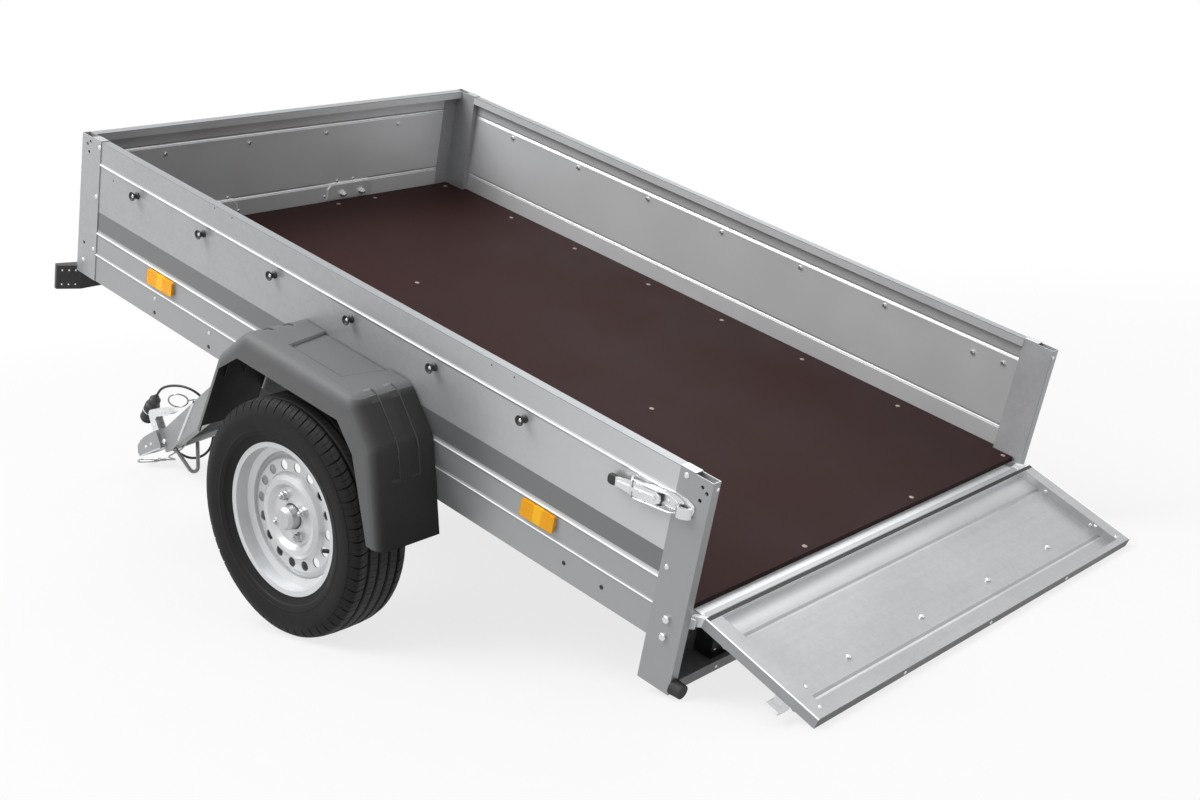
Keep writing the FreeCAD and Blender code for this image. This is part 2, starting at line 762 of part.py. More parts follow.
def hinge_brackets():
    """Pairs of ears under a bearer that hold the drawbar's hinge pins."""
    body = new_body("hinge_brackets", many=True)
    ear = [(534, BEARER_FOOT), (D.hinge_x - 18, BEARER_FOOT), (D.hinge_x - 18, D.hinge_z - 10),
           (D.hinge_x - 10, D.hinge_z - 18), (D.hinge_x + 10, D.hinge_z - 18),
           (D.hinge_x + 18, D.hinge_z - 10), (D.hinge_x + 18, BEARER_FOOT - 9),
           (534, BEARER_FOOT - 5)]
    for side in (LEFT, RIGHT):
        for near, far in ((531, 537), (602, 608)):
            extrude(body, "XZ_Plane", ear, side * near, side * far)
        drum(body, "XZ_Plane", D.hinge_x, D.hinge_z, D.pin_radius, side * 525, side * 614)
    body.Placement = BED


def drawbar_locks():
    """Backing plates inside the front wall and, outside, the angles that meet the bars."""
    body = new_body("drawbar_locks", many=True)
    inside = FRONT_OUT - D.wall_sheet
    for side in (LEFT, RIGHT):
        plate = [(side * 158, 235), (side * 325, 235), (side * 325, 266), (side * 311, 280),
                 (side * 172, 280), (side * 158, 266)]
        extrude(body, "YZ_Plane", plate, inside - 3, inside)
        outside = FRONT_OUT + D.bead_rise
        angle = [(outside, 152), (outside + 46, 152), (outside + 46, 156), (outside + 4, 156),
                 (outside + 4, 262), (outside, 262)]
        extrude(body, "XZ_Plane", angle, side * 272, side * 336)
        drum(body, "XY_Plane", outside + 26, side * 303, 6.5, 150, 158, cut=True)
    body.Placement = BED


def tail_pins():
    """Shouldered bolts in the rear posts that the tailgate's lugs turn on."""
    body = new_body("tail_pins", many=True)
    inner = HALF - D.post_depth
    for side in (LEFT, RIGHT):
        drum(body, "XZ_Plane", -D.gate_pivot_x, D.gate_pivot_z, D.pin_radius,
             side * (inner - 27), side * (inner - 3))
        ear = [(-D.gate_pivot_x - 9, D.gate_pivot_z - 11), (REAR_END + 30, D.gate_pivot_z - 30),
               (REAR_END + 30, D.gate_pivot_z + 2), (-D.gate_pivot_x - 9, D.gate_pivot_z + 9)]
        extrude(body, "XZ_Plane", ear, side * (inner - 3), side * inner)
        drum(body, "XZ_Plane", -D.gate_pivot_x, D.gate_pivot_z, 10,
             side * (inner - 33), side * (inner - 27))
    body.Placement = BED


# Wheels


def wheel(name, side):
    """Steel wheel with its tyre, hub and grease cap, drawn about the wheel axis."""
    middle = side * D.wheel_track_half

    def station(distance):
        """Distance outboard of the tyre's middle plane."""
        return middle + side * Size.of(distance)

    tyre = new_body("tyre_" + name)
    half = D.tyre_width / 2
    bead = D.seat_radius + 3
    bulge = D.seat_radius + 67
    revolve(tyre, "YZ_Plane", [
        (station(-50), bead), (station(-half), bulge), (station(-60), D.tyre_radius),
        (station(60), D.tyre_radius), (station(half), bulge), (station(50), bead)])
    tyre.Placement = BED

    rim = new_body("rim_" + name)
    skin = D.rim_sheet
    face = D.mount_face
    front = face + D.disc_sheet
    lip = D.rim_half
    seat, well = D.seat_radius, D.well_radius
    revolve(rim, "YZ_Plane", [
        (station(-lip), D.rim_radius), (station(3 - lip), D.rim_radius),
        (station(5 - lip), seat + 2),
        (station(-22), seat), (station(-16), well), (station(20), well), (station(28), seat),
        (station(lip - 5), seat + 2), (station(lip - 3), D.rim_radius), (station(lip), D.rim_radius),
        (station(lip), D.rim_radius - skin), (station(lip - 2), seat - 1), (station(30), seat - skin),
        (station(23), well - skin), (station(15), well - skin), (station(18), 138),
        (station(24), 130), (station(24), 102), (station(35), 96), (station(41), 86),
        (station(39), 76), (station(front), 66), (station(front), D.spigot_radius + 1),
        (station(face), D.spigot_radius + 1), (station(face), 68), (station(36), 78),
        (station(38), 86), (station(33), 93), (station(21), 100), (station(21), 130),
        (station(14), 139), (station(6), well - skin), (station(-18), well - skin),
        (station(-24), seat - skin), (station(2 - lip), seat - 1), (station(-lip), D.rim_radius - skin)])
    phase = math.radians(DRIVING["vent_phase"])
    vent = drum(rim, "XZ_Plane", D.vent_circle * round(math.cos(phase), 6),
                D.vent_circle * round(math.sin(phase), 6), D.vent_radius,
                station(18), station(28), cut=True)
    repeat_round(rim, vent, 16)
    rim.Placement = BED

    hub = new_body("hub_" + name)
    bore = D.spindle_radius + D.hub_clearance
    revolve(hub, "YZ_Plane", [
        (station(-97), bore), (station(front - 1), bore), (station(front - 1), D.spigot_radius),
        (station(face), D.spigot_radius), (station(face), D.flange_radius),
        (station(face - 10), D.flange_radius), (station(face - 10), D.hub_radius + 6),
        (station(-97), D.hub_radius)])
    hub.Placement = BED

    cap = new_body("hub_cap_" + name)
    revolve(cap, "YZ_Plane", [
        (station(front - 1), D.cap_radius), (station(front + 20), D.cap_radius),
        (station(front + D.cap_reach), D.cap_radius - 6), (station(front + D.cap_reach), 0),
        (station(front + D.cap_reach - 3), 0), (station(front + D.cap_reach - 3), D.cap_radius - 8),
        (station(front + 18), D.cap_radius - 3), (station(front - 1), D.cap_radius - 3)])
    cap.Placement = BED


# Tailgate


def tailgate_panel():
    """Shallow pan: a beaded sheet folded along its hinge edge and its outer edge, with a
    hollow stile over each end and a hinge lug at each lower corner."""
    body = new_body("tailgate_panel")
    half = HALF - D.post_depth - D.gate_gap
    inner = D.gate_pivot_x - D.gate_front
    outer = inner - D.gate_depth
    foot = D.gate_foot - D.gate_pivot_z
    top = foot + D.gate_height
    skin = D.gate_sheet
    sheet_in = outer + skin
    points = [(inner, foot), (outer, foot)]
    beads = (81, 261)
    for middle in beads:
        points += [(outer, middle - D.bead_half), (outer - D.bead_rise, middle),
                   (outer, middle + D.bead_half)]
    points += [(outer, top), (inner, top), (inner, top - D.gate_rail),
               (inner - skin, top - D.gate_rail), (inner - skin, top - skin),
               (sheet_in, top - skin)]
    for middle in reversed(beads):
        points += [(sheet_in, middle + D.bead_half), (sheet_in - D.bead_rise, middle),
                   (sheet_in, middle - D.bead_half)]
    points += [(sheet_in, foot + skin), (inner - skin, foot + skin),
               (inner - skin, foot + 10), (inner, foot + 10)]
    extrude(body, "XZ_Plane", points, -half, half)
    for side in (LEFT, RIGHT):
        stile = side * (half - D.gate_stile)
        box(body, (inner - skin, inner), (side * half, stile), (foot, top))
        box(body, (outer, inner), (side * half, side * (half - skin)), (foot, top))
        box(body, (outer + 1, inner - 1), (stile, stile + side * skin), (foot + 1, top - 1))
        lug = [(inner, foot + 4), (outer + 2, foot + 4), (-10, 5), (-10, -5), (-5, -10), (5, -10),
               (13, 2)]
        extrude(body, "XZ_Plane", lug, side * (half - 16), side * (half - 2))
        drum(body, "XZ_Plane", 0, 0, D.pin_radius + D.pin_clearance,
             side * (half - 18), side * half, cut=True)
    body.Placement = GATE


def tailgate_catches():
    """Hooked plates on the tailgate's outer face that the latches pull on."""
    body = new_body("tailgate_catches", many=True)
    half = HALF - D.post_depth - D.gate_gap
    outer = D.gate_pivot_x - D.gate_front - D.gate_depth
    for side in (LEFT, RIGHT):
        base = [(outer, side * (half - 30)), (outer, side * (half - 2)),
                (outer - 9, side * (half - 2)), (outer - 9, side * (half + 22)),
                (outer - 3, side * (half + 30)), (outer - 8, side * (half + 33)),
                (outer - 13, side * (half + 26)), (outer - 13, side * (half - 6)),
                (outer - 4, side * (half - 6)), (outer - 4, side * (half - 30))]
        extrude(body, "XY_Plane", base, 216, 250)
    body.Placement = GATE


def tailgate_knobs():
    """Cover buttons along the tailgate's outer face."""
    body = new_body("tailgate_knobs", many=True)
    outer = D.gate_pivot_x - D.gate_front - D.gate_depth
    height = D.knob_z - D.gate_pivot_z
    for number in range(4):
        place = (number - 1.5) * D.gate_knob_pitch
        drum(body, "YZ_Plane", place, height, D.knob_stem, outer - 10, outer)
        drum(body, "YZ_Plane", place, height, D.knob_head, outer - 17, outer - 10)
    body.Placement = GATE


# Drawbar


SLOPE = math.tan(math.radians(DRIVING["bar_angle"]))
ACROSS = 1 / math.cos(math.radians(DRIVING["bar_angle"]))


def bar_strip(side, near, far, mitre):
    """Plan of a strip of the channel between two depths from its outer face. The bar runs
    straight to the nose, then turns parallel to its twin, or stops short at the mitre."""
    heel = -D.bar_heel

    def edge(depth):
        depth = Size.of(depth)
        y_heel = (D.bar_reach - heel) * SLOPE - depth * ACROSS
        y_end = D.bar_end_half - depth
        if y_end.value < mitre.value:
            y_end = mitre
        x_turn = D.bar_reach - (y_end + depth * ACROSS) / SLOPE
        return [(heel, side * y_heel), (x_turn, side * y_end), (D.bar_end, side * y_end)]
    return edge(near) + list(reversed(edge(far)))


def drawbar_bar(name, side):
    """Lipped channel, open to the inside, bent parallel to its twin at the nose,
    with a pressed bead along its web and a bush at its hinge."""
    body = new_body("drawbar_bar_" + name)
    skin = D.bar_sheet
    deep = D.bar_half
    middle = Size.of(0.5)
    extrude(body, "XY_Plane", bar_strip(side, 0, skin, middle), -deep, deep)
    for low, high in ((-deep, skin - deep), (deep - skin, deep)):
        extrude(body, "XY_Plane", bar_strip(side, 0, D.bar_flange, middle), low, high)
    lip_end = D.bar_reach - (D.bar_flange * ACROSS + 4) / SLOPE
    heel = -D.bar_heel
    y_near = (D.bar_reach - heel) * SLOPE - (D.bar_flange - skin) * ACROSS
    y_far = (D.bar_reach - heel) * SLOPE - D.bar_flange * ACROSS
    run = (lip_end - heel) * SLOPE
    lip = [(heel, side * y_near), (lip_end, side * (y_near - run)),
           (lip_end, side * (y_far - run)), (heel, side * y_far)]
    for low, high in ((-deep, D.bar_lip - deep), (deep - D.bar_lip, deep)):
        extrude(body, "XY_Plane", lip, low, high)
    drum(body, "XZ_Plane", 0, 0, D.bush_radius, side * 546, side * 592)
    drum(body, "XZ_Plane", 0, 0, D.pin_radius + D.pin_clearance, side * 540, side * 620, cut=True)
    body.Placement = DRAWBAR


def drawbar_tie():
    """Cross tube between the bars, just ahead of the bed."""
    body = new_body("drawbar_tie")
    half, skin = 20, 3
    rear, front = 640, 676
    inner = (D.bar_reach - front) * SLOPE - D.bar_flange * ACROSS
    outer = rectangle((rear, front), (-half, half))
    bore = rectangle((rear + skin, front - skin), (skin - half, half - skin))
    tube(body, "XZ_Plane", outer, bore, -inner, inner)
    body.Placement = DRAWBAR


def coupling():
    """Pressed ball coupling: a shank between the bars' ends and a hood over the ball,
    open below, with the ball's socket inside it."""
    body = new_body("coupling")
    rear = D.bar_end
    nose = D.nose_reach
    half = D.head_half
    hood = [(rear, -16), (nose - 4, -14), (nose, 2), (nose - 14, 28), (nose - 40, 37),
            (rear + 30, 42), (rear, 42)]
    extrude(body, "XZ_Plane", hood, -half, half)
    round_edges(body, 16, nose_edge)
    hollow(body, D.head_wall, flat_face_below)
    shank_half = D.bar_end_half - D.bar_sheet - 0.5
    box(body, (1289, rear + 6), (-shank_half, shank_half), (-24, 27))
    drum(body, "XY_Plane", D.ball_x, 0, D.ball_radius + 5, -10, 34)
    drum(body, "XY_Plane", D.ball_x, 0, D.ball_radius + 0.5, -12, 2, cut=True)
    dome = body.newObject("PartDesign::SubtractiveSphere", "ball_dome")
    dome.setExpression("Radius", "Sizes.ball_radius + 0.5")
    dome.Placement = Placement(Vector(DRIVING["ball_x"], 0, 2), Rotation())
    body.Tip = dome
    body.Placement = DRAWBAR


def nose_edge(edge):
    """Edge along either side of the hood, forward of the ball."""
    middle = edge.CenterOfMass
    return middle.x > DRIVING["ball_x"] + 15 and abs(middle.y) > 20


def flat_face_below(face):
    """The hood's underside, the face that looks down."""
    normal = face.normalAt(0, 0)
    return normal.z < -0.9 and face.Area > 4000


def coupling_handle():
    """Folded lever that opens the coupling, raised over it, open along its underside."""
    body = new_body("coupling_handle")
    lever = [(1360, 43), (1394, 43), (1388, 100), (1380, 110), (1370, 112), (1268, 97), (1262, 76),
             (1288, 73), (1348, 84), (1360, 78)]
    extrude(body, "XZ_Plane", lever, -15, 15)
    round_edges(body, 4, lambda edge: edge_along("y")(edge) and edge.CenterOfMass.z > 90)
    inside = [(1352, 30), (1388, 30), (1383, 98), (1376, 106), (1370, 108), (1271, 93), (1269, 60),
              (1346, 60)]
    extrude(body, "XZ_Plane", inside, -12.5, 12.5, cut=True)
    body.Placement = DRAWBAR


def prop_stand():
    """Round bar bent to a V under the nose, which keeps the drawbar off the ground."""
    body = new_body("prop_stand")
    bottom = D.prop_rod - D.prop_drop
    top = -D.bar_half - 0.5
    spread = D.prop_spread
    bend = DRIVING["prop_bend"]
    reach = DRIVING["prop_spread"]
    rise = top.value - bottom.value
    # The leg from (spread, top) is tangent to the bend about (0, bottom + bend).
    radius = math.hypot(reach, rise - bend)
    swing = math.atan2(rise - bend, reach) - math.acos(bend / radius)
    touch_y = bend * math.cos(swing)
    touch_z = bend * math.sin(swing)
    spine = new_sketch(body, "YZ_Plane", D.prop_x)
    centre = Vector(0, bottom.value + bend, 0)
    circle = Part.Circle(centre, Vector(0, 0, 1), bend)
    arc = spine.addGeometry(Part.ArcOfCircle(circle, -math.pi / 2, swing))
    touch = Vector(touch_y, bottom.value + bend + touch_z, 0)
    leg = spine.addGeometry(Part.LineSegment(touch, Vector(reach, top.value, 0)))
    spine.addConstraint(Sketcher.Constraint("Tangent", arc, 2, leg, 1))
    hold_point(spine, arc, 3, Size.of(0), bottom + D.prop_bend)
    hold_point(spine, arc, 1, Size.of(0), bottom)
    hold_point(spine, leg, 2, spread, top)
    section = new_sketch(body, "XZ_Plane", Size.of(0))
    add_circle(section, D.prop_x, bottom, D.prop_rod)
    pipe = body.newObject("PartDesign::AdditivePipe", "prop_leg")
    pipe.Profile = section
    pipe.Spine = (spine, ["Edge1", "Edge2"])
    body.Tip = pipe
    mirrored = body.newObject("PartDesign::Mirrored", "prop_other_leg")
    mirrored.Originals = [pipe]
    mirrored.MirrorPlane = (origin_plane(body, "XZ_Plane"), [""])
    body.Tip = mirrored
    low = -D.bar_half
    box(body, (D.prop_x - 12, D.prop_x + 12), (-60, 60), (low, low + 12), cut=True)
    body.Placement = DRAWBAR


PLUG_TAIL = (1366, -20, 149)
PLUG_TURN = 28.6
CABLE_EXIT = (1332, -10, -42.5)
CABLE_NEXT = (1319.8, -17, -61.5)


def plug():
    """Round plug on the cable's end, with a ribbed collar, tied to the coupling's handle."""
    body = new_body("plug")
    revolve(body, "XY_Plane", [
        (0, 0), (0, 9), (8, 13), (14, 18), (34, 19), (38, 22.5), (84, 22.5), (88, 20.5),
        (92, 22.5), (106, 22.5), (110, 20), (110, 17), (90, 17), (90, 0)])
    body.Placement = DRAWBAR.multiply(Placement(Vector(*PLUG_TAIL), Rotation(AXIS_Y, PLUG_TURN)))


def along(start, end, base):
    """Placement whose X axis runs from start towards end, both given in the base's frame."""
    way = Vector(*end) - Vector(*start)
    return base.multiply(Placement(Vector(*start), Rotation(Vector(1, 0, 0), way)))


def cable_grommet():
    """Rubber bush pressed into the right bar's underside, which the cable comes out of."""
    body = new_body("cable_grommet")
    revolve(body, "XY_Plane", [(-13, 0), (-13, 7), (-3, 7), (0, 5.5), (0, 0)])
    body.Placement = along(CABLE_EXIT, CABLE_NEXT, DRAWBAR)


def cable():
    """Lighting cable from the bars' underside, down and up outside the right bar in a loop,
    and over to the plug."""
    run = 30
    turn = math.radians(PLUG_TURN)
    tail_x, tail_y, tail_z = PLUG_TAIL
    before_tail = (tail_x - run * math.cos(turn), tail_y, tail_z + run * math.sin(turn))
    route = [CABLE_EXIT, CABLE_NEXT, (1298.7, -35, -79.5), (1271.2, -55, -81.5),
             (1245.6, -72, -67.3), (1232.3, -84, -40.2), (1216.7, -90, -8.2), (1206.9, -92, 26.1),
             (1200.7, -85, 63.1), (1197.6, -68, 97.4), (1200.9, -48, 122.8),
             (1221, -33, 143), (1256, -24, 157), (1299, -20, 165), before_tail, PLUG_TAIL]
    cord("cable", route, DRIVING["cable_radius"], DRAWBAR, 10 * DRIVING["cable_radius"])


HOOK_TURN = 31.9
HOOK_MIDDLE = Vector(1830.5 + SHIFT, -24.5, 4)


def wire_hook():
    """Spring hook on the end of the safety wire, lying on the ground ahead of the coupling."""
    body = new_body("wire_hook")
    end, half, rod = 36.5, 13.5, 4
    straight = end - half
    spine = new_sketch(body, "XY_Plane", Size.of(0))
    centre = Vector(-straight, 0, 0)
    turned_up = Part.Circle(centre, Vector(0, 0, 1), half)
    spine.addGeometry(Part.ArcOfCircle(turned_up, math.pi / 2, math.pi))
    spine.addGeometry(Part.LineSegment(Vector(-straight, half, 0), Vector(straight, half, 0)))
    turned_down = Part.Circle(Vector(straight, 0, 0), Vector(0, 0, 1), half)
    spine.addGeometry(Part.ArcOfCircle(turned_down, 0, math.pi / 2))
    spine.addConstraint(Sketcher.Constraint("Coincident", 0, 1, 1, 1))
    spine.addConstraint(Sketcher.Constraint("Coincident", 1, 2, 2, 2))
    section = new_sketch(body, "XZ_Plane", Size.of(0))
    add_circle(section, -end, 0, rod)
    pipe = body.newObject("PartDesign::AdditivePipe", "hook_side")
    pipe.Profile = section
    pipe.Spine = (spine, ["Edge1", "Edge2", "Edge3"])
    body.Tip = pipe
    mirrored = body.newObject("PartDesign::Mirrored", "hook_other_side")
    mirrored.Originals = [pipe]
    mirrored.MirrorPlane = (origin_plane(body, "XZ_Plane"), [""])
    body.Tip = mirrored
    drum(body, "YZ_Plane", 0, 0, rod, -58, -end)
    body.Placement = Placement(HOOK_MIDDLE, Rotation(Vector(0, 0, 1), HOOK_TURN))


RING_MIDDLE = Vector(1223, 0, 104)
RING_LONG = Vector(0.69, 0.68, 0.234)
RING_SHORT = Vector(-0.646, 0.44, 0.625)


def wire_ring():
    """Stiff wire eye on the safety wire's other end, with the sleeve that closes it."""
    body = new_body("wire_ring")
    ring = body.newObject("PartDesign::AdditiveTorus", "eye")
    ring.Radius1 = 30
    ring.Radius2 = DRIVING["wire_radius"]
    body.Tip = ring
    drum(body, "YZ_Plane", 0, 0, 4, -50, -29)
    normal = RING_LONG.cross(RING_SHORT)
    turn = Rotation(RING_LONG, RING_SHORT, normal, "XZY")
    body.Placement = DRAWBAR.multiply(Placement(RING_MIDDLE, turn))


def safety_wire():
    """Steel safety wire from the hook, under the nose and up between the bars to its eye."""
    turn = math.radians(HOOK_TURN)
    tail = Vector(math.cos(turn), math.sin(turn), 0)
    to_drawbar = DRAWBAR.inverse()
    ground = [HOOK_MIDDLE - tail * 58, HOOK_MIDDLE - tail * 85, Vector(1731 + SHIFT, -60, 8),
              Vector(1712 + SHIFT, -38, 20), Vector(1697 + SHIFT, -12, 31)]
    route = [tuple(to_drawbar.multVec(point)) for point in ground]
    route += [(1368, 3, -47), (1338, 7, -45), (1308, 5, -44), (1279, 1, -40), (1254, -2, -26),
              (1234, -4, -4), (1212, -5, 18), (1188, -13, 35), (1165, -28, 50), (1158, -45, 70)]
    way = RING_LONG.normalize()
    route += [tuple(RING_MIDDLE - way * 72), tuple(RING_MIDDLE - way * 50)]
    cord("safety_wire", route, DRIVING["wire_radius"], DRAWBAR, 6 * DRIVING["wire_radius"])


floor_panel()
for side_name, side_sign in SIDES:
    side_wall(side_name, side_sign)
    front_post(side_name, side_sign)
    rear_post(side_name, side_sign)
front_wall()
rear_sill()
lamp_beam()
floor_bearers()
axle_beam()
for side_name, side_sign in SIDES:
    axle_arm(side_name, side_sign)
    fender(side_name, side_sign)
tail_feet()
marker_lamps()
side_reflectors()
rear_lamps()
cover_knobs()
latches()
hinge_brackets()
drawbar_locks()
tail_pins()
for side_name, side_sign in SIDES:
    wheel(side_name, side_sign)
tailgate_panel()
tailgate_catches()
tailgate_knobs()
for side_name, side_sign in SIDES:
    drawbar_bar(side_name, side_sign)
drawbar_tie()
coupling()
coupling_handle()
prop_stand()
plug()
cable_grommet()
cable()
wire_hook()
wire_ring()
safety_wire()
doc.recompute()


# Check and write


def sub_parts():
    """Every body, group and cord, but not the bodies that only shape another."""
    kinds = ("PartDesign::Body", "Part::Compound", "Part::Feature")
    cuts = [item for item in doc.Objects if item.TypeId == "PartDesign::Boolean"]
    tools = [tool.Name for cut in cuts for tool in cut.Group]
    return [item for item in doc.Objects if item.TypeId in kinds and item.Name not in tools]


failed = [item.Label for item in doc.Objects if "Invalid" in item.State or "Error" in item.State]
if failed:
    raise RuntimeError("failed objects: " + ", ".join(failed))
os.makedirs("parts", exist_ok=True)
for item in sub_parts():
    if item.Shape.isNull() or not item.Shape.isValid():
        raise RuntimeError("bad shape: " + item.Label)
    item.Shape.exportStep(os.path.join("parts", item.Label + ".step"))
    print(item.Label, len(item.Shape.Solids), "solids", round(item.Shape.Volume / 1000), "cm3")
whole = Part.makeCompound([item.Shape for item in sub_parts()]).BoundBox
print("box", round(whole.XMin, 2), round(whole.XMax, 2), round(whole.YMin, 2),
      round(whole.YMax, 2), round(whole.ZMin, 3), round(whole.ZMax, 2))
print("shift", round(SHIFT, 3), "tilt", round(math.degrees(TILT), 3),
      "dip", round(math.degrees(DIP), 3), "gate", round(math.degrees(GATE_TURN), 3))
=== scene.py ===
import json
import math

import bmesh
import bpy
import numpy as np
from mathutils import Matrix, Vector

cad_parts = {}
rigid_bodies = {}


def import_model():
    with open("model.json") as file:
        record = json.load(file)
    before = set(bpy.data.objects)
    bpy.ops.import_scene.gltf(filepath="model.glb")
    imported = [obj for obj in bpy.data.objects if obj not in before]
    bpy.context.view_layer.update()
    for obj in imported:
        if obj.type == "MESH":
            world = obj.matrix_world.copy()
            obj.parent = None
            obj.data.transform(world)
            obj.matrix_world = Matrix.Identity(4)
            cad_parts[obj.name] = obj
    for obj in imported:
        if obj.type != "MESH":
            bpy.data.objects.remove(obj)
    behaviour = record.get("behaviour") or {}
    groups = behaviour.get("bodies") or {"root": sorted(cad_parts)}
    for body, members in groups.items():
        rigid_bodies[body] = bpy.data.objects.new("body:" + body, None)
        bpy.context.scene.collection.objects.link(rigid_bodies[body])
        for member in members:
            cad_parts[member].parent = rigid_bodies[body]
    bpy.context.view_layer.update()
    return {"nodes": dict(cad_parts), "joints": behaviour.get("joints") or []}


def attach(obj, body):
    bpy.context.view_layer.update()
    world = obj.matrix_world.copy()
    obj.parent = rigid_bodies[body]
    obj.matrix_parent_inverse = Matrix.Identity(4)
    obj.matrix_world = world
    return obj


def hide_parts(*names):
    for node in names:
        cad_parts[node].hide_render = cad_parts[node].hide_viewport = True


# A single-axle utility trailer, shown tipped on its tail with its tailgate let down.
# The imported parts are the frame, and new pieces ride on its bodies. World lengths are in
# metres. Points on a body are in millimetres, in that body's own frame.

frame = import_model()
nodes = frame["nodes"]
for old in list(bpy.data.lights) + list(bpy.data.cameras):
    bpy.data.batch_remove([old])


# The camera stands behind the trailer's left rear corner, a little above head height,
# rolled slightly, with a short telephoto view.
azimuth, elevation, roll = (math.radians(a) for a in (223.215, 12.188, -4.671))
view_back = Vector((math.sin(azimuth) * math.cos(elevation),
                    -math.cos(azimuth) * math.cos(elevation), math.sin(elevation)))
level_right = Vector((0, 0, 1)).cross(view_back).normalized()
level_up = view_back.cross(level_right)
view_right = math.cos(roll) * level_right + math.sin(roll) * level_up
view_up = math.cos(roll) * level_up - math.sin(roll) * level_right


def add_object(name, data):
    """New object in the scene, at the origin."""
    made = bpy.data.objects.new(name, data)
    bpy.context.scene.collection.objects.link(made)
    return made


camera = add_object("camera", bpy.data.cameras.new("camera"))
camera_place = Matrix.Translation((-3.3398, 3.033, 1.2886))
camera_turn = Matrix((view_right, view_up, view_back)).transposed().to_4x4()
camera.matrix_world = camera_place @ camera_turn
camera.data.lens = 52.695
camera.data.sensor_width = 36
camera.data.clip_start, camera.data.clip_end = 0.05, 200
bpy.context.scene.camera = camera


# The studio: a pale floor that runs on to the horizon, a soft sky that darkens towards the
# ground, and three large soft lamps: high ahead on the left, beyond the trailer, and behind it.
def link_lamp(name, place, target, size, power):
    """Square soft lamp at a place, turned to face a target."""
    lamp = add_object(name, bpy.data.lights.new(name, "AREA"))
    lamp.data.shape = "SQUARE"
    lamp.data.size = size
    lamp.data.energy = power
    lamp.location = place
    lamp.rotation_mode = "QUATERNION"
    lamp.rotation_quaternion = (Vector(place) - Vector(target)).to_track_quat("Z", "Y")


link_lamp("high_lamp", (1.6, 2.4, 4.8), (0, -0.1, 0.4), 3.2, 370)
link_lamp("far_lamp", (0.4, -3.8, 4.8), (0, 0, 0.4), 3.0, 90)
link_lamp("tail_lamp", (-2.6, 0.1, 3.7), (-0.6, 0, 0.3), 2.4, 55)


def add_node(tree, kind, inputs=None, **settings):
    """New shader node with its settings, its inputs set to values or linked to sockets."""
    made = tree.nodes.new("ShaderNode" + kind)
    for key, value in settings.items():
        setattr(made, key, value)
    for key, value in (inputs or {}).items():
        if isinstance(value, bpy.types.NodeSocket):
            tree.links.new(value, made.inputs[key])
        else:
            made.inputs[key].default_value = value
    return made


def calc(operation, *values):
    """Socket with a Math node's result, in the tree of the first value, which is a socket."""
    made = add_node(values[0].id_data, "Math", dict(enumerate(values)), operation=operation)
    return made.outputs[0]


def fade(socket, start, end, low=0.0, high=1.0):
    """Socket that runs from low to high as the value runs from start to end."""
    return add_node(socket.id_data, "MapRange", {0: socket, 1: start, 2: end, 3: low,
                                                 4: high}).outputs[0]


def axes_of(socket):
    """Sockets with the X, Y and Z of a vector."""
    return add_node(socket.id_data, "SeparateXYZ", {0: socket}).outputs


def shown_rays(tree):
    """Socket that is 1 for what is seen straight, in a reflection or through something."""
    rays = add_node(tree, "LightPath").outputs
    seen = calc("MAXIMUM", rays["Is Camera Ray"], rays["Is Glossy Ray"])
    return calc("MAXIMUM", seen, rays["Is Transmission Ray"])


sky = bpy.data.worlds.new("soft_sky")
bpy.context.scene.world = sky
sky.use_nodes = True
sky_tree = sky.node_tree
sky_tree.nodes.clear()
sky_way = axes_of(add_node(sky_tree, "TexCoord").outputs["Generated"])
ramp = add_node(sky_tree, "ValToRGB", {0: calc("MULTIPLY_ADD", sky_way["Z"], 0.5, 0.5)})
ramp.color_ramp.elements[0].position = 0.44
ramp.color_ramp.elements[0].color = (0.56, 0.56, 0.57, 1)
ramp.color_ramp.elements[1].position = 0.92
ramp.color_ramp.elements[1].color = (0.92, 0.93, 0.94, 1)
sky_light = add_node(sky_tree, "Background", {"Color": ramp.outputs[0], "Strength": 0.7})
sky_seen = add_node(sky_tree, "Background", {"Color": (1, 1, 1, 1), "Strength": 1.0})
sky_mix = add_node(sky_tree, "MixShader", {0: shown_rays(sky_tree), 1: sky_light.outputs[0],
                                           2: sky_seen.outputs[0]})
add_node(sky_tree, "OutputWorld", {0: sky_mix.outputs[0]})
bpy.context.scene.view_settings.view_transform = "Standard"


# The ground is a broad sheet of matt paper. It shows paler the farther it is from the trailer,
# until it is as white as the sky, and it keeps the trailer's shadow.
ground_mesh = bpy.data.meshes.new("ground")
ground_mesh.from_pydata([(-40, -40, 0), (40, -40, 0), (40, 40, 0), (-40, 40, 0)], [], [range(4)])
ground = add_object("ground", ground_mesh)
paper = bpy.data.materials.new("pale_paper")
paper.use_nodes = True
paper_tree = paper.node_tree
paper_shader = paper_tree.nodes["Principled BSDF"]
paper_shader.inputs["Base Color"].default_value = (0.46, 0.46, 0.46, 1)
paper_shader.inputs["Roughness"].default_value = 0.9


def own_place(tree):
    """Socket with places in the object's own coordinates, in metres."""
    return add_node(tree, "TexCoord").outputs["Object"]


def vector_calc(operation, *values):
    """Socket with a VectorMath node's result, in the tree of the first value, a socket."""
    made = add_node(values[0].id_data, "VectorMath", dict(enumerate(values)), operation=operation)
    return made.outputs["Value" if operation in ("LENGTH", "DOT_PRODUCT") else "Vector"]


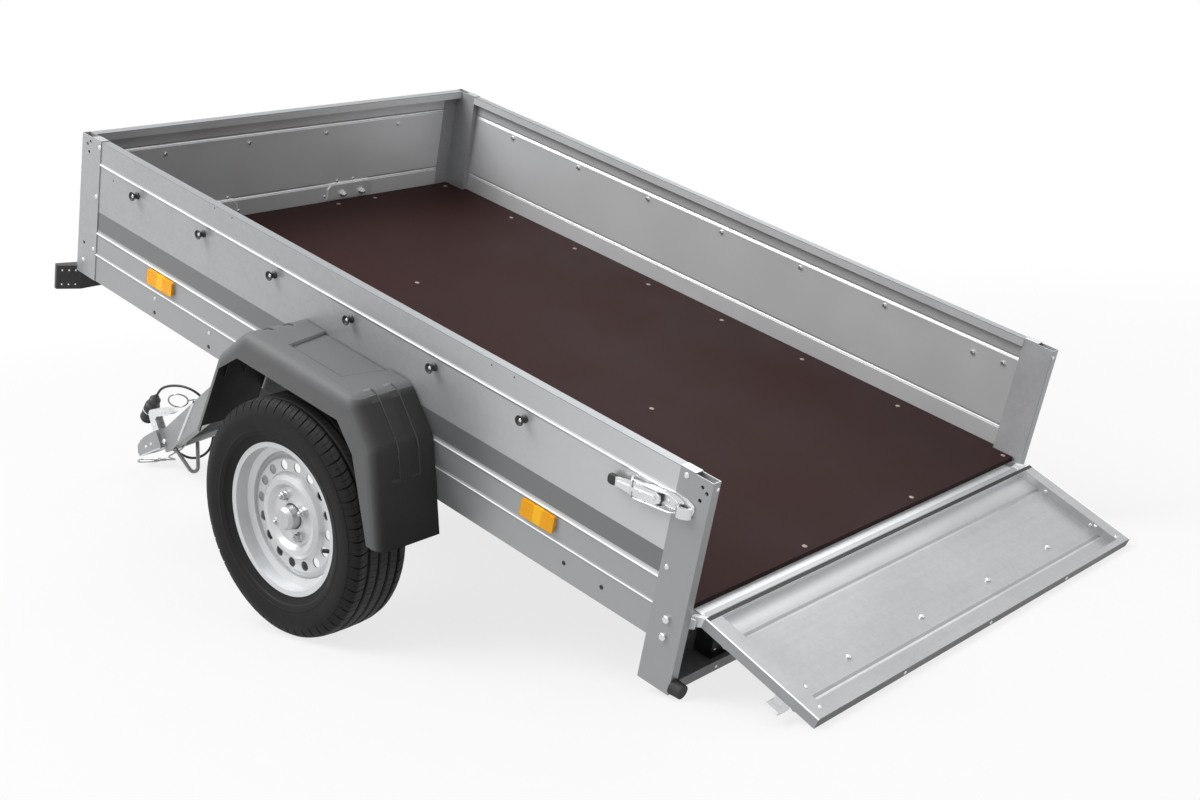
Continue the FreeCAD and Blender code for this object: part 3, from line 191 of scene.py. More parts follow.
paper_fade = fade(vector_calc("LENGTH", own_place(paper_tree)), 1.5, 4.5, 0.78, 1.0)
paper_share = calc("MULTIPLY", shown_rays(paper_tree), paper_fade)
paper_glow = add_node(paper_tree, "Emission", {"Color": (1, 1, 1, 1)})
paper_mix = add_node(paper_tree, "MixShader", {0: paper_share, 1: paper_shader.outputs[0],
                                               2: paper_glow.outputs[0]})
paper_tree.links.new(paper_mix.outputs[0], paper_tree.nodes["Material Output"].inputs["Surface"])
ground.data.materials.append(paper)


# The bed, the tailgate and the drawbar are folded from steel sheet, hot-dip galvanised before
# folding: dull grey zinc with faint crystals a few millimetres across, fine lines along the
# way the sheet was rolled, and soft cloudy patches of more and less shine.
def new_marks(name):
    """Empty node group for a surface's marks: Tone for its colour, Wear for its roughness and
    Height for its bump, each from 0 to 1. Its inner coordinates are the object's own."""
    group = bpy.data.node_groups.new(name, "ShaderNodeTree")
    for label in ("Tone", "Wear", "Height"):
        group.interface.new_socket(label, in_out="OUTPUT", socket_type="NodeSocketFloat")
    group.nodes.new("NodeGroupOutput")
    return group


def put_out(group, **sockets):
    """Link sockets to the group's outputs of the same names."""
    for label, socket in sockets.items():
        group.links.new(socket, group.nodes["Group Output"].inputs[label])


# A body's own frame is how far its X axis is turned nose up, in degrees, and where its origin
# is. The bed's origin is on the wheel axis, and its X runs forward along the floor.
joint_places = {joint["name"]: joint["pos_m"] for joint in frame["joints"]}
axle_x, _, axle_z = joint_places["wheel_left_spin"]
AXLE = (axle_x, 0, axle_z)
BED = (19.0, AXLE)


def along_body(tree, turn, pin):
    """Socket with places in a body's own frame, in metres."""
    moved = vector_calc("SUBTRACT", own_place(tree), pin)
    turned = add_node(tree, "VectorRotate", {0: moved, "Angle": math.radians(turn)},
                      rotation_type="Y_AXIS")
    return turned.outputs[0]


def noise(place, scale, detail):
    """Socket with cloudy noise from 0 to 1."""
    return add_node(place.id_data, "TexNoise", {"Vector": place, "Scale": scale,
                                                "Detail": detail}).outputs[0]


zinc_marks = new_marks("zinc_sheet_marks")
sheet_place = along_body(zinc_marks, *BED)
crystal = add_node(zinc_marks, "TexVoronoi", {"Vector": sheet_place, "Scale": 95})
crystal_tone = axes_of(crystal.outputs["Color"])["X"]
rolled = noise(vector_calc("MULTIPLY", sheet_place, (3, 3, 420)), 1.0, 3.0)
cloud = noise(sheet_place, 5.5, 4.0)
sheet_tone = calc("ADD", calc("MULTIPLY_ADD", crystal_tone, 0.35, rolled), cloud)
put_out(zinc_marks, Tone=fade(sheet_tone, 0.8, 1.6), Wear=cloud, Height=rolled)


def marked_finish(name, marks, colours, roughness, metallic=0.0, depth=0.0001, specular=0.5):
    """Material whose colour and roughness run between two values each by the marks' Tone and
    Wear, with a bump of the given depth in metres by their Height."""
    finish = bpy.data.materials.new(name)
    finish.use_nodes = True
    tree = finish.node_tree
    shader = tree.nodes["Principled BSDF"]
    shader.inputs["Metallic"].default_value = metallic
    shader.inputs["Specular IOR Level"].default_value = specular
    seen = add_node(tree, "Group", node_tree=marks)
    seen.label = "marks"
    colour = add_node(tree, "Mix", {0: seen.outputs["Tone"]}, data_type="RGBA")
    colour.inputs[6].default_value = (*colours[0], 1)
    colour.inputs[7].default_value = (*colours[1], 1)
    colour.label = "tone"
    tree.links.new(colour.outputs[2], shader.inputs["Base Color"])
    tree.links.new(fade(seen.outputs["Wear"], 0.3, 0.7, *roughness), shader.inputs["Roughness"])
    bump = add_node(tree, "Bump", {"Height": seen.outputs["Height"], "Distance": depth})
    tree.links.new(bump.outputs[0], shader.inputs["Normal"])
    return finish


def repaint(finish, *names):
    """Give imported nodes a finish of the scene's own, in place of their plain one."""
    for name in names:
        nodes[name].data.materials.clear()
        nodes[name].data.materials.append(finish)


def mask_colour(finish, mask, colour):
    """Lay one more colour over a finish where the mask, a socket in its tree, is 1."""
    tree = finish.node_tree
    base = tree.nodes["Principled BSDF"].inputs["Base Color"]
    under = base.links[0].from_socket
    over = add_node(tree, "Mix", {0: mask, 6: under}, data_type="RGBA")
    over.inputs[7].default_value = (*colour, 1)
    tree.links.new(over.outputs[2], base)


def band(socket, middle, half):
    """Mask that is 1 where a value lies within half of the middle."""
    return calc("COMPARE", socket, middle, half)


def above(socket, limit):
    """Mask that is 1 where a value is greater than the limit."""
    return calc("GREATER_THAN", socket, limit)


def below(socket, limit):
    """Mask that is 1 where a value is less than the limit."""
    return calc("LESS_THAN", socket, limit)


def both(first, second):
    """Mask that is 1 where both masks are: their product."""
    return calc("MULTIPLY", first, second)


def either(first, second):
    """Mask that is 1 where either mask is: the greater one."""
    return calc("MAXIMUM", first, second)


def body_axes(tree, turn, pin):
    """Sockets in a body's own frame: X, the distance out to either side, and Z."""
    own = axes_of(along_body(tree, turn, pin))
    return own["X"], calc("ABSOLUTE", own["Y"]), own["Z"]


def zinc_sheet(name, darker, lighter, shine=(0.33, 0.42)):
    """Galvanised sheet: its grey runs between two colours, and its roughness over the shine."""
    return marked_finish(name, zinc_marks, (darker, lighter), shine, metallic=0.5, depth=0.00003)


galvanised = zinc_sheet("galvanised", (0.345, 0.353, 0.361), (0.395, 0.403, 0.411))
repaint(galvanised, *[name for name in nodes if name.startswith(("post_front", "axle_"))])
repaint(galvanised, "floor_bearers", "hinge_brackets")


# The walls' sheets are the same zinc, given painted light inside the load space. The pressed beads
# carry a painted highlight, and the folded rim on top is darker. A dark grey film, 48 mm wide, runs
# along each side. Sizes are in metres in the bed's frame.
WALL_GREYS = ((0.34, 0.348, 0.356), (0.39, 0.398, 0.406))
BEADS = ((0.4645, 0.0021), (0.2835, 0.0021), (0.2255, 0.0017))
RIM_FOOT = 0.5215
SIDE_INSIDE, FRONT_INSIDE = 0.6448, 1.0718
FILM_MIDDLE, FILM_HALF = 0.317, 0.024
OUTER_FACE, FACE_REACH = 0.6475, 0.002


def add_beads_and_rim(sheet, height):
    """Lay a painted highlight on the beads, each a height and half its width, and the darker rim over
    a sheet.
    """
    for middle, half in BEADS:
        mask_colour(sheet, band(height, middle, half), (0.93, 0.94, 0.95))
    mask_colour(sheet, above(height, RIM_FOOT), (0.25, 0.26, 0.27))


def side_wall_sheet():
    """Painted light towards the rear and inside the load space, and darker below the middle bead
    outside.
    """
    sheet = zinc_sheet("galvanised_walls", *WALL_GREYS)
    forward, out, height = body_axes(sheet.node_tree, *BED)
    # Painted light towards the rear.
    mask_colour(sheet, fade(forward, -0.15, -0.9), (0.52, 0.53, 0.54))
    inside = below(out, SIDE_INSIDE)
    # Painted light inside the load space.
    mask_colour(sheet, inside, (0.62, 0.63, 0.64))
    mask_colour(sheet, below(height, 0.2815), (0.335, 0.342, 0.348))
    mask_colour(sheet, both(inside, below(height, 0.278)), (0.66, 0.67, 0.68))
    film = both(band(height, FILM_MIDDLE, FILM_HALF), band(out, OUTER_FACE, FACE_REACH))
    mask_colour(sheet, film, (0.178, 0.181, 0.185))
    add_beads_and_rim(sheet, height)
    return sheet


def front_wall_sheet():
    """Painted light inside the load space, and painted shade more and more towards the trailer's
    left.
    """
    sheet = zinc_sheet("galvanised_front", *WALL_GREYS)
    own = axes_of(along_body(sheet.node_tree, *BED))
    inside = below(own["X"], FRONT_INSIDE)
    # Painted light inside the load space.
    mask_colour(sheet, inside, (0.66, 0.67, 0.68))
    # Painted shade towards the trailer's left.
    mask_colour(sheet, both(fade(own["Y"], -0.35, 0.7, 0.0, 0.85), inside), (0.31, 0.32, 0.33))
    add_beads_and_rim(sheet, own["Z"])
    return sheet


repaint(side_wall_sheet(), "side_wall_left", "side_wall_right")
repaint(front_wall_sheet(), "front_wall")


# The rear posts and the sill are folded from the same sheet and bolted on. Their sheet is given a
# lighter grey than the walls' as painted light, and painted shade darkens their outer and rear faces.
rear_sheet = zinc_sheet("galvanised_rear_light_and_shade", (0.47, 0.48, 0.49), (0.54, 0.55, 0.56), (0.36, 0.46))
forward, out, _ = body_axes(rear_sheet.node_tree, *BED)
# Painted shade on the outer faces and the rear faces.
mask_colour(rear_sheet, either(above(out, 0.6468), below(forward, -0.9835)), (0.315, 0.323, 0.332))
repaint(rear_sheet, "post_rear_left", "post_rear_right", "rear_sill")


# The drawbar's lock plates inside the front wall are punched from sheet and riveted on. They are as
# light as the wall's painted light inside, and a painted highlight runs along their top, their inner
# side and their slanted corner.
plate_sheet = zinc_sheet("galvanised_plates", (0.56, 0.57, 0.58), (0.64, 0.65, 0.66), (0.3, 0.4))
_, out, height = body_axes(plate_sheet.node_tree, *BED)
# Painted highlight along the top, inner and slanted edges.
straight_edges = either(above(height, 0.2775), below(out, 0.1605))
slanted_edge = above(calc("SUBTRACT", height, out), 0.1045)
mask_colour(plate_sheet, either(straight_edges, slanted_edge), (0.95, 0.95, 0.95))
repaint(plate_sheet, "drawbar_locks")


# Blind rivets, screws and bolts hold the sheets to the posts and the fittings to the sheets:
# zinc plated, each turned or pressed with a small head that stands a few millimetres proud.
fine_marks = new_marks("fine_grain_marks")
patch = noise(own_place(fine_marks), 14, 4.0)
put_out(fine_marks, Tone=patch, Wear=patch, Height=noise(own_place(fine_marks), 700, 2.0))


def fine_finish(name, darker, lighter, roughness, **others):
    """Finish with a fine grain whose colour runs between two."""
    return marked_finish(name, fine_marks, (darker, lighter), roughness, **others)


zinc = fine_finish("bright_zinc", (0.60, 0.61, 0.62), (0.78, 0.79, 0.80), (0.16, 0.32),
                   metallic=0.9, depth=0.00005)
# This darker zinc is painted shade on the coupling, and the dull metal of the safety wire, its hook
# and its ring.
dull_zinc_and_painted_shade = fine_finish("dull_zinc_and_painted_shade", (0.27, 0.275, 0.28), (0.44, 0.445, 0.45), (0.22, 0.38),
                        metallic=0.85, depth=0.00005)
hole_dark = fine_finish("hole_shade", (0.012, 0.012, 0.013), (0.03, 0.03, 0.03), (0.7, 0.9))
POST_FACE, WALL_FACE = 648, 646
FRONT_OUTER, FRONT_INNER = 1073, 1071


def placed(points, turn, pin):
    """World places of points in millimetres in a body's own frame: turned nose up about Y by
    turn degrees, then moved by the pin."""
    angle = math.radians(turn)
    x, y, z = np.moveaxis(np.asarray(points, float) / 1000, -1, 0)
    return np.stack([pin[0] + x * math.cos(angle) - z * math.sin(angle), y,
                     pin[2] + x * math.sin(angle) + z * math.cos(angle)], axis=-1)


def on_bed(points):
    return placed(points, *BED)


def both_sides(points):
    """The points and their mirror images on the trailer's other side."""
    points = np.asarray(points, float)
    return np.concatenate([points, points * (1, -1, 1)])


def add_piece(name, grids, body, finish, sharp=32):
    """One object from grids of points, each shaped (rows, columns, 3) in metres. Each grid is
    covered with quads, and coinciding points are welded, which closes its seams and poles."""
    points, faces, start = [], [], 0
    for grid in grids:
        rows, columns = grid.shape[:2]
        number = start + np.arange(rows * columns).reshape(rows, columns)
        faces.append(np.stack([number[:-1, :-1], number[1:, :-1], number[1:, 1:],
                               number[:-1, 1:]], axis=-1).reshape(-1, 4))
        points.append(grid.reshape(-1, 3))
        start += rows * columns
    points, faces = np.concatenate(points), np.concatenate(faces)
    mesh = bpy.data.meshes.new(name)
    mesh.vertices.add(len(points))
    mesh.vertices.foreach_set("co", points.ravel())
    mesh.loops.add(faces.size)
    mesh.loops.foreach_set("vertex_index", faces.ravel())
    mesh.polygons.add(len(faces))
    mesh.polygons.foreach_set("loop_start", np.arange(len(faces)) * 4)
    mesh.update(calc_edges=True)
    work = bmesh.new()
    work.from_mesh(mesh)
    bmesh.ops.remove_doubles(work, verts=work.verts, dist=2e-6)
    bmesh.ops.recalc_face_normals(work, faces=work.faces)
    work.to_mesh(mesh)
    work.free()
    mesh.shade_smooth()
    mesh.set_sharp_from_angle(angle=math.radians(sharp))
    mesh.materials.append(finish)
    made = add_object(name, mesh)
    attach(made, body)
    return made


def unit(vectors):
    """The vectors, each made one long."""
    vectors = np.asarray(vectors, float)
    return vectors / np.linalg.norm(vectors, axis=-1, keepdims=True)


def turned_grids(profile, centres, axes, frame_of=on_bed, sides=20, flats=0):
    """Solids turned about axes through centres: point = centre + along * axis + out * (cos t *
    across + sin t * third), for each (along, out) of the profile and t round a full circle.
    With flats, out shrinks between corners by cos(pi/flats) / cos(t - middle of the flat)."""
    centres = np.atleast_2d(np.asarray(centres, float))
    axes = unit(np.broadcast_to(axes, centres.shape))
    helper = np.where(np.abs(axes[:, 2:]) < 0.9, [[0.0, 0, 1]], [[1.0, 0, 0]])
    across = unit(np.cross(helper, axes))
    third = np.cross(axes, across)
    angle = np.linspace(0, 2 * np.pi, sides + 1)
    shrink = np.ones_like(angle)
    if flats:
        part = 2 * np.pi / flats
        shrink = np.cos(part / 2) / np.cos(np.mod(angle, part) - part / 2)
    along, out = np.asarray(profile, float).T
    circle = (np.cos(angle)[:, None] * across[:, None, :]
              + np.sin(angle)[:, None] * third[:, None, :])
    rings = (centres[:, None, None] + along[:, None, None] * axes[:, None, None]
             + (out[:, None] * shrink)[..., None] * circle[:, None])
    return list(frame_of(rings))


def dome(radius, rise):
    """Profile of a round head: a short foot, then a quarter ellipse up to its top."""
    step = np.linspace(0, np.pi / 2, 5)
    return [(-0.6, 0), (-0.6, radius)] + [(rise * math.sin(a), radius * math.cos(a)) for a in step]


def hex_head(radius, rise):
    """Profile of a six-sided head on its washer, with a small bevel round its top."""
    return [(-0.5, 0), (-0.5, radius), (rise - 1, radius), (rise, radius - 1), (rise, 0)]


def disc(radius, rise):
    """Profile of a flat round plate."""
    return [(-0.5, 0), (-0.5, radius), (rise, radius), (rise, 0)]


def hexagons(profile, centres, axes, frame_of=on_bed):
    """Six-sided solids turned from a profile."""
    return turned_grids(profile, centres, axes, frame_of, sides=24, flats=6)


def on_side(places, out):
    """Points on the left side, at a distance out, from places (forward, up)."""
    return np.array([(forward, out, up) for forward, up in places], float)


POST_RIVETS = on_side([(-922, 511), (-920, 312), (1000, 507), (1004, 377), (1006, 236),
                       (1048, 192)], POST_FACE)
BAND_RIVETS = on_side([(738, 206), (516, 205), (215, 205)], WALL_FACE)
POST_BOLTS = on_side([(-946, 209), (-946, 170)], POST_FACE)
PLATE_RIVETS = [(FRONT_INNER, 151, 247), (FRONT_INNER, 192, 290), (FRONT_INNER, 252, 290)]
LOCK_BOLTS = [(1068, 215, 250), (1068, 285, 250)]
LOCK_BOLT = [(-1, 0), (-1, 11), (1.5, 11), (1.5, 8.5), (9, 8.5), (10, 7.5), (10, 5), (14, 5),
             (15, 4), (15, 0)]

# The cover's buttons stand at even steps along the walls, and their screws' ends show inside.
KNOB_HEIGHT = 440
FRONT_KNOB_Y = 268 * (np.arange(4) - 1.5)
knobs_left = on_side([(834.5 - 268.5 * step, KNOB_HEIGHT) for step in range(6)], WALL_FACE)
inner_ends = np.concatenate([knobs_left + (0, -2, 7), on_side([(-776, 430), (-860, 437)], 644)])
front_ends = [(FRONT_INNER, y, KNOB_HEIGHT) for y in FRONT_KNOB_Y]

rivets = []
for side in (1, -1):
    mirror, facing = (1, side, 1), (0, side, 0)
    rivets += turned_grids(dome(6, 2.8), POST_RIVETS * mirror, facing)
    rivets += turned_grids(dome(5, 2.2), BAND_RIVETS * mirror, facing)
    rivets += hexagons(hex_head(8.5, 5.5), POST_BOLTS * mirror, facing)
    rivets += hexagons(hex_head(5.5, 4.5), inner_ends * mirror, (0, -side, 0))
rivets += turned_grids(dome(4.5, 2), both_sides([(-985, 631, 506)]), (-1, 0, 0))
rivets += hexagons(hex_head(5.5, 4.5), front_ends, (-1, 0, 0))
rivets += turned_grids(dome(4.5, 2), both_sides(PLATE_RIVETS), (-1, 0, 0))
rivets += hexagons(LOCK_BOLT, both_sides(LOCK_BOLTS), (-1, 0, 0))
add_piece("bed_rivets", rivets, "bed", zinc)

# Spare holes in the walls are dark discs, painted shade where the holes are, each a place (forward,
# up) and a radius.
SPARE_HOLES = [(736, 170, 5), (514, 170, 5), (-672, 190, 5), (-776, 189, 5), (938, 442, 2),
               (532, 516, 1.8), (466, 516, 1.8), (-398, 512, 1.8), (-463, 513, 1.8)]
holes = []
for forward, up, radius in SPARE_HOLES:
    for side in (1, -1):
        place = (forward, side * WALL_FACE, up)
        holes += turned_grids(disc(radius, 0.25), [place], (0, side, 0))
add_piece("spare_holes", holes, "bed", hole_dark)


# The floor is one board of birch plywood faced with brown phenolic film, pressed with a fine
# wire-mesh print against slipping, and held down by countersunk screws round its edge.
board_marks = new_marks("film_board_marks")
board_place = along_body(board_marks, *BED)
board_axes = axes_of(board_place)
waves = []
for slope in (0.6, -0.6):
    slant = calc("MULTIPLY_ADD", board_axes["Y"], slope, board_axes["X"])
    waves.append(calc("SINE", calc("MULTIPLY", slant, 1250.0)))
drift = noise(board_place, 3.5, 3.0)
put_out(board_marks, Tone=calc("MULTIPLY_ADD", noise(board_place, 150, 3.0), 0.5, drift),
        Wear=drift, Height=both(*waves))
FILM_BROWNS = ((0.0150, 0.0062, 0.0060), (0.0240, 0.0098, 0.0094))
board = marked_finish("film_faced_board", board_marks, FILM_BROWNS, (0.5, 0.6), depth=0.00012,
                      specular=0.045)
repaint(board, "floor_panel")
floor_screws = [(492, 7), (-336, 3), (-944, 609), (-944, 206), (-944, -203), (-944, -609)]
floor_screws += [(1038, y) for y in (-596, -316, -178, 178, 316, 596)]
floor_screws += [(x, y) for x in (753, 491, 205, -62, -336, -640) for y in (-600, 600)]
FLOOR_TOP = 233
floor_screws = np.array([(x, y, FLOOR_TOP) for x, y in floor_screws], float)
screw_metal = fine_finish("floor_screw_metal", (0.22, 0.175, 0.16), (0.30, 0.24, 0.22), (0.45, 0.6),
                          metallic=0.3, depth=0.00005)
add_piece("floor_screws", turned_grids(dome(6.0, 1.0), floor_screws, (0, 0, 1)), "bed",
          screw_metal)


# Black moulded buttons for the cover's cord: a flared cup on a narrower neck, each held by a
# bright rivet through its middle. Six on each side wall, four on the front wall.
black_plastic = fine_finish("black_plastic", (0.012, 0.012, 0.013), (0.028, 0.028, 0.029),
                            (0.38, 0.55))
KNOB = [(-0.5, 0), (-0.5, 9), (2, 9), (4, 6.6), (9, 6.4), (13, 9), (16, 11.3), (17.2, 11),
        (17.2, 9.6), (15.4, 8.6), (13.6, 5.2), (13.6, 0)]
KNOB_RIVET = [(13, 0), (13, 4.2), (14.4, 4.2), (15.4, 3), (15.9, 0)]
front_knobs = [(FRONT_OUTER, y, KNOB_HEIGHT) for y in FRONT_KNOB_Y]
cups, cup_rivets = [], []
for places, facing in ((knobs_left, (0, 1, 0)), (knobs_left * (1, -1, 1), (0, -1, 0)),
                       (front_knobs, (1, 0, 0))):
    cups += turned_grids(KNOB, places, facing, sides=28)
    cup_rivets += turned_grids(KNOB_RIVET, places, facing)
cover_cups = add_piece("cover_cups", cups, "bed", black_plastic)
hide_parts("cover_knobs")
add_piece("cover_cup_rivets", cup_rivets, "bed", zinc)


# The side reflectors are moulded amber lenses with a pyramid pattern inside, in two halves
# with a plain strip between them, and they lie flat on the side walls' outer faces.
lens_marks = new_marks("prism_marks")
lens_axes = axes_of(along_body(lens_marks, *BED))
prisms = both(*[calc("SINE", calc("MULTIPLY", lens_axes[axis], 1900.0)) for axis in ("X", "Z")])
prism_tone = fade(prisms, -1.0, 1.0)
put_out(lens_marks, Tone=prism_tone, Wear=prism_tone, Height=prisms)
amber = marked_finish("amber_lens", lens_marks, ((0.80, 0.30, 0.001), (0.98, 0.46, 0.002)),
                      (0.16, 0.26), depth=0.0005, specular=0.2)
forward, _, _ = body_axes(amber.node_tree, *BED)
strips = either(band(forward, 0.714, 0.011), band(forward, -0.588, 0.011))
mask_colour(amber, strips, (1.0, 0.52, 0.006))
repaint(amber, "side_reflectors")


# The front position lamps are black moulded bodies under the front corners, each put together
# with six small screws from behind.
lamp_black = fine_finish("lamp_black", (0.010, 0.010, 0.011), (0.024, 0.024, 0.025), (0.24, 0.4))
repaint(lamp_black, "marker_lamps")
lamp_corner = np.array([1075, 634, 98.0])
face_way = unit([(24, 57, 0)])[0]
face_out = np.array([-face_way[1], face_way[0], 0])
lamp_screws = np.array([lamp_corner + face_way * along + (0, 0, up)
                        for along in (14, 31, 48) for up in (13, 52)])
screws = []
for mirror in ((1, 1, 1), (1, -1, 1)):
    screws += turned_grids(dome(2.6, 1.4), lamp_screws * mirror, face_out * mirror)
add_piece("marker_lamp_screws", screws, "bed", zinc)


# The rear lamps are black moulded bodies behind red lenses with the same pyramid pattern. Their
# rear face is red between 292 and 430 mm out, and black round that.
red = marked_finish("red_lens", lens_marks, ((0.30, 0.006, 0.006), (0.48, 0.012, 0.01)),
                    (0.18, 0.3), depth=0.0005)
forward, out, _ = body_axes(red.node_tree, *BED)
housing = either(either(above(out, 0.430), below(out, 0.292)), above(forward, -0.9535))
mask_colour(red, housing, (0.012, 0.012, 0.013))
repaint(red, "rear_lamps")


# The beam under the floor's rear edge is a folded channel of galvanised sheet, given a dark grey as
# painted shade, and small screws hold it and the lamps; the tail feet are turned from black rubber.
BEAM_GREYS = ((0.17, 0.172, 0.178), (0.23, 0.232, 0.24))
beam_painted_shade = marked_finish("beam_sheet_painted_shade", zinc_marks, BEAM_GREYS, (0.4, 0.5), metallic=0.3,
                           depth=0.00003)
repaint(beam_painted_shade, "lamp_beam")
BEAM_SCREWS = [(-956, 474, 81), (-956, 474, 128), (-984, 500, 67), (-984, 180, 67)]
beam_screws = turned_grids(dome(3.5, 1.8), both_sides(BEAM_SCREWS), (-1, 0, 0))
add_piece("beam_screws", beam_screws, "bed", zinc)
rubber = fine_finish("black_rubber", (0.014, 0.014, 0.014), (0.03, 0.03, 0.03), (0.6, 0.8),
                     depth=0.00015)
repaint(rubber, "tail_feet", "cable_grommet")


# Mudguards are moulded in black polyethylene with a fine grain. Their upper and outer faces are given
# grey as painted light, for the sheen they catch from above, and their rear faces painted shade;
# inside they keep the plastic's black.
# The limits are heights in the bed's frame, in metres, near the underside of the top's skin.
RAW_BLACK = (0.014, 0.014, 0.014)
SHADE_TOP, STEP_FOOT, HOLLOW_TOP, EDGE_FOOT = 0.374, 0.3727, 0.3725, 0.372
PANEL_SIDE = 0.7648
END_SLANT = 0.1818


def mudguard_finish():
    """Grey above as painted light, painted shade at the rear that deepens downwards, and black
    inside. A painted light lifts the sunk panel's front step, and painted soft shades follow its
    edges: its side at PANEL_SIDE out, and its rear end, which runs slanting by END_SLANT."""
    finish = fine_finish("grained_plastic", (0.104, 0.105, 0.107), (0.124, 0.125, 0.127),
                         (0.45, 0.55), depth=0.0004, specular=0.13)
    tree = finish.node_tree
    normal = add_node(tree, "TexCoord").outputs["Normal"]
    way, place = axes_of(normal), axes_of(own_place(tree))
    forward, out, height = body_axes(tree, *BED)

    # Painted shade on the rear faces, deeper towards the bottom.
    rear_part = both(below(place["X"], -0.45), below(height, SHADE_TOP))
    rear_faces = both(fade(way["X"], -0.35, -0.92), rear_part)
    mask_colour(finish, rear_faces, (0.036, 0.036, 0.0365))
    low_down = fade(place["Z"], 0.46, 0.12)
    mask_colour(finish, both(rear_faces, low_down), (0.007, 0.007, 0.0072))

    # Painted light on the sunk panel's front step.
    front_step = both(below(way["X"], -0.8), above(height, STEP_FOOT))
    mask_colour(finish, front_step, (0.34, 0.343, 0.348))
    # Painted shade along the sunk panel's side and rear edges.
    slanting = calc("MULTIPLY_ADD", out, -END_SLANT, forward)
    panel_side = both(band(out, PANEL_SIDE, 0.0018), band(forward, -0.002, 0.089))
    panel_end = both(band(slanting, -0.2289, 0.002), below(out, 0.765))
    panel_edge = both(either(panel_side, panel_end), above(height, EDGE_FOOT))
    mask_colour(finish, panel_edge, (0.066, 0.067, 0.068))

    faces_wall = below(both(way["Y"], calc("SIGN", place["Y"])), -0.5)
    from_hub = vector_calc("SUBTRACT", own_place(tree), AXLE)
    hub_way = vector_calc("NORMALIZE", vector_calc("MULTIPLY", from_hub, (1, 0, 1)))
    faces_hub = below(vector_calc("DOT_PRODUCT", normal, hub_way), -0.5)
    under_skin = either(below(height, HOLLOW_TOP), below(way["Z"], -0.6))
    mask_colour(finish, either(faces_wall, both(under_skin, faces_hub)), RAW_BLACK)
    return finish


repaint(mudguard_finish(), "fender_left", "fender_right")


# Each latch is pressed from zinc-plated strip: a plate riveted to the wall, a channel-shaped
# lever over it with a black rubber grip, and two wire bails that pull on a curved claw.
def slab(outline, low, high, edge=0.5):
    """Grid of a flat plate with eased edges: the outline, drawn in towards its middle at its
    lowest and highest levels, and closed over at both ends. Rows are (across, up, out)."""
    outline = np.asarray(outline + outline[:1], float)
    middle = outline[:-1].mean(axis=0)
    reach = np.linalg.norm(outline - middle, axis=1).max()
    shares = np.array([0, 1 - edge / reach, 1, 1, 1 - edge / reach, 0])
    levels = np.array([low, low, low + edge, high - edge, high, high])
    flat = middle + shares[:, None, None] * (outline - middle)
    levels = np.broadcast_to(levels[:, None, None], flat.shape[:2] + (1,))
    return np.concatenate([flat, levels], axis=2)


def bar_grid(path, radius, up=(0, 0, 1), sides=12):
    """Round bar along a path: each ring is path + radius * (cos t * side + sin t * top), with
    side square to the path's way and to up; both ends are closed to a point."""
    path = np.asarray(path, float)
    heading = unit(np.gradient(path, axis=0))
    side = unit(np.cross(heading, up))
    top = np.cross(side, heading)
    angle = np.linspace(0, 2 * np.pi, sides + 1)
    circle = (np.cos(angle)[:, None] * side[:, None] + np.sin(angle)[:, None] * top[:, None])
    rings = path[:, None] + radius * circle
    caps = [np.repeat(path[end][None, None], sides + 1, axis=1) for end in (0, -1)]
    return np.concatenate([caps[0], rings, caps[1]])


def rounded_path(corners, radius, steps=6):
    """Points along straight runs between corners, each corner turned in a curve that starts
    and ends radius away from it: (1-t)^2 start + 2t(1-t) corner + t^2 finish."""
    corners = np.asarray(corners, float)
    t = np.linspace(0, 1, steps)[:, None]
    before, after = np.roll(corners, 1, axis=0), np.roll(corners, -1, axis=0)
    start = corners + radius * unit(before - corners)
    finish = corners + radius * unit(after - corners)
    bends = [(1 - t) ** 2 * a + 2 * t * (1 - t) * c + t ** 2 * b
             for a, c, b in zip(start, corners, finish)]
    return np.concatenate([corners[:1]] + bends[1:-1] + [corners[-1:]])


def on_latch(side):
    """Places on a latch: across runs from its grip to its claw along the wall, up is square
    to that on the wall and out stands off the wall."""
    lean = math.radians(5.9)
    grip_x, grip_z = -754, 429

    def give(local):
        across, up, out = np.moveaxis(np.asarray(local, float), -1, 0)
        x = grip_x - across * math.cos(lean) + up * math.sin(lean)
        z = grip_z + across * math.sin(lean) + up * math.cos(lean)
        return on_bed(np.stack([x, side * (POST_FACE + out), z], axis=-1))
    return give


PLATE = [(58, -11), (70, -15), (188, -15), (200, -8), (204, 2), (202, 12), (186, 21), (150, 25),
         (110, 21), (80, 16), (58, 11)]
LEVER = [(10, -9), (30, -10), (60, -14), (118, -14), (128, -8), (130, 0), (128, 8), (118, 14),
         (60, 14), (30, 10), (10, 9)]
LEVER_RIB = [(24, -3.5), (116, -5), (121, 0), (116, 5), (24, 3.5)]
CHEEK = [(52, 2), (60, 12), (118, 13), (130, 9), (134, 2)]
CLAW = [(164, 2), (166, 11), (174, 17), (185, 17), (195, 11), (199, 2), (195, 2), (191, 9),
        (183, 13), (175, 13), (170, 9), (168, 2)]
CLAW_LEVELS = (-17, -16, -6, 3, 4)
GRIP = [(-2, -5), (0, -9), (5, -11.5), (14, -11.5), (20, -10), (20, 10), (14, 11.5), (5, 11.5),
        (0, 9), (-2, 5)]
LATCH_RIVETS = [(84, 0, 17), (142, 0, 2.4), (192, 0, 2.4)]
BAIL_RADIUS = 1.9


def claw_grid():
    """Grid of the claw: its outline carried up through the levels, closed over at both ends."""
    claw = np.array(CLAW + CLAW[:1], float)
    sweep = np.stack([np.stack([claw[:, 0], np.full(len(claw), up), claw[:, 1]], axis=1)
                      for up in CLAW_LEVELS])
    centre = np.broadcast_to(sweep.mean(axis=1, keepdims=True), sweep.shape)
    return np.concatenate([centre[:1], sweep, centre[-1:]])


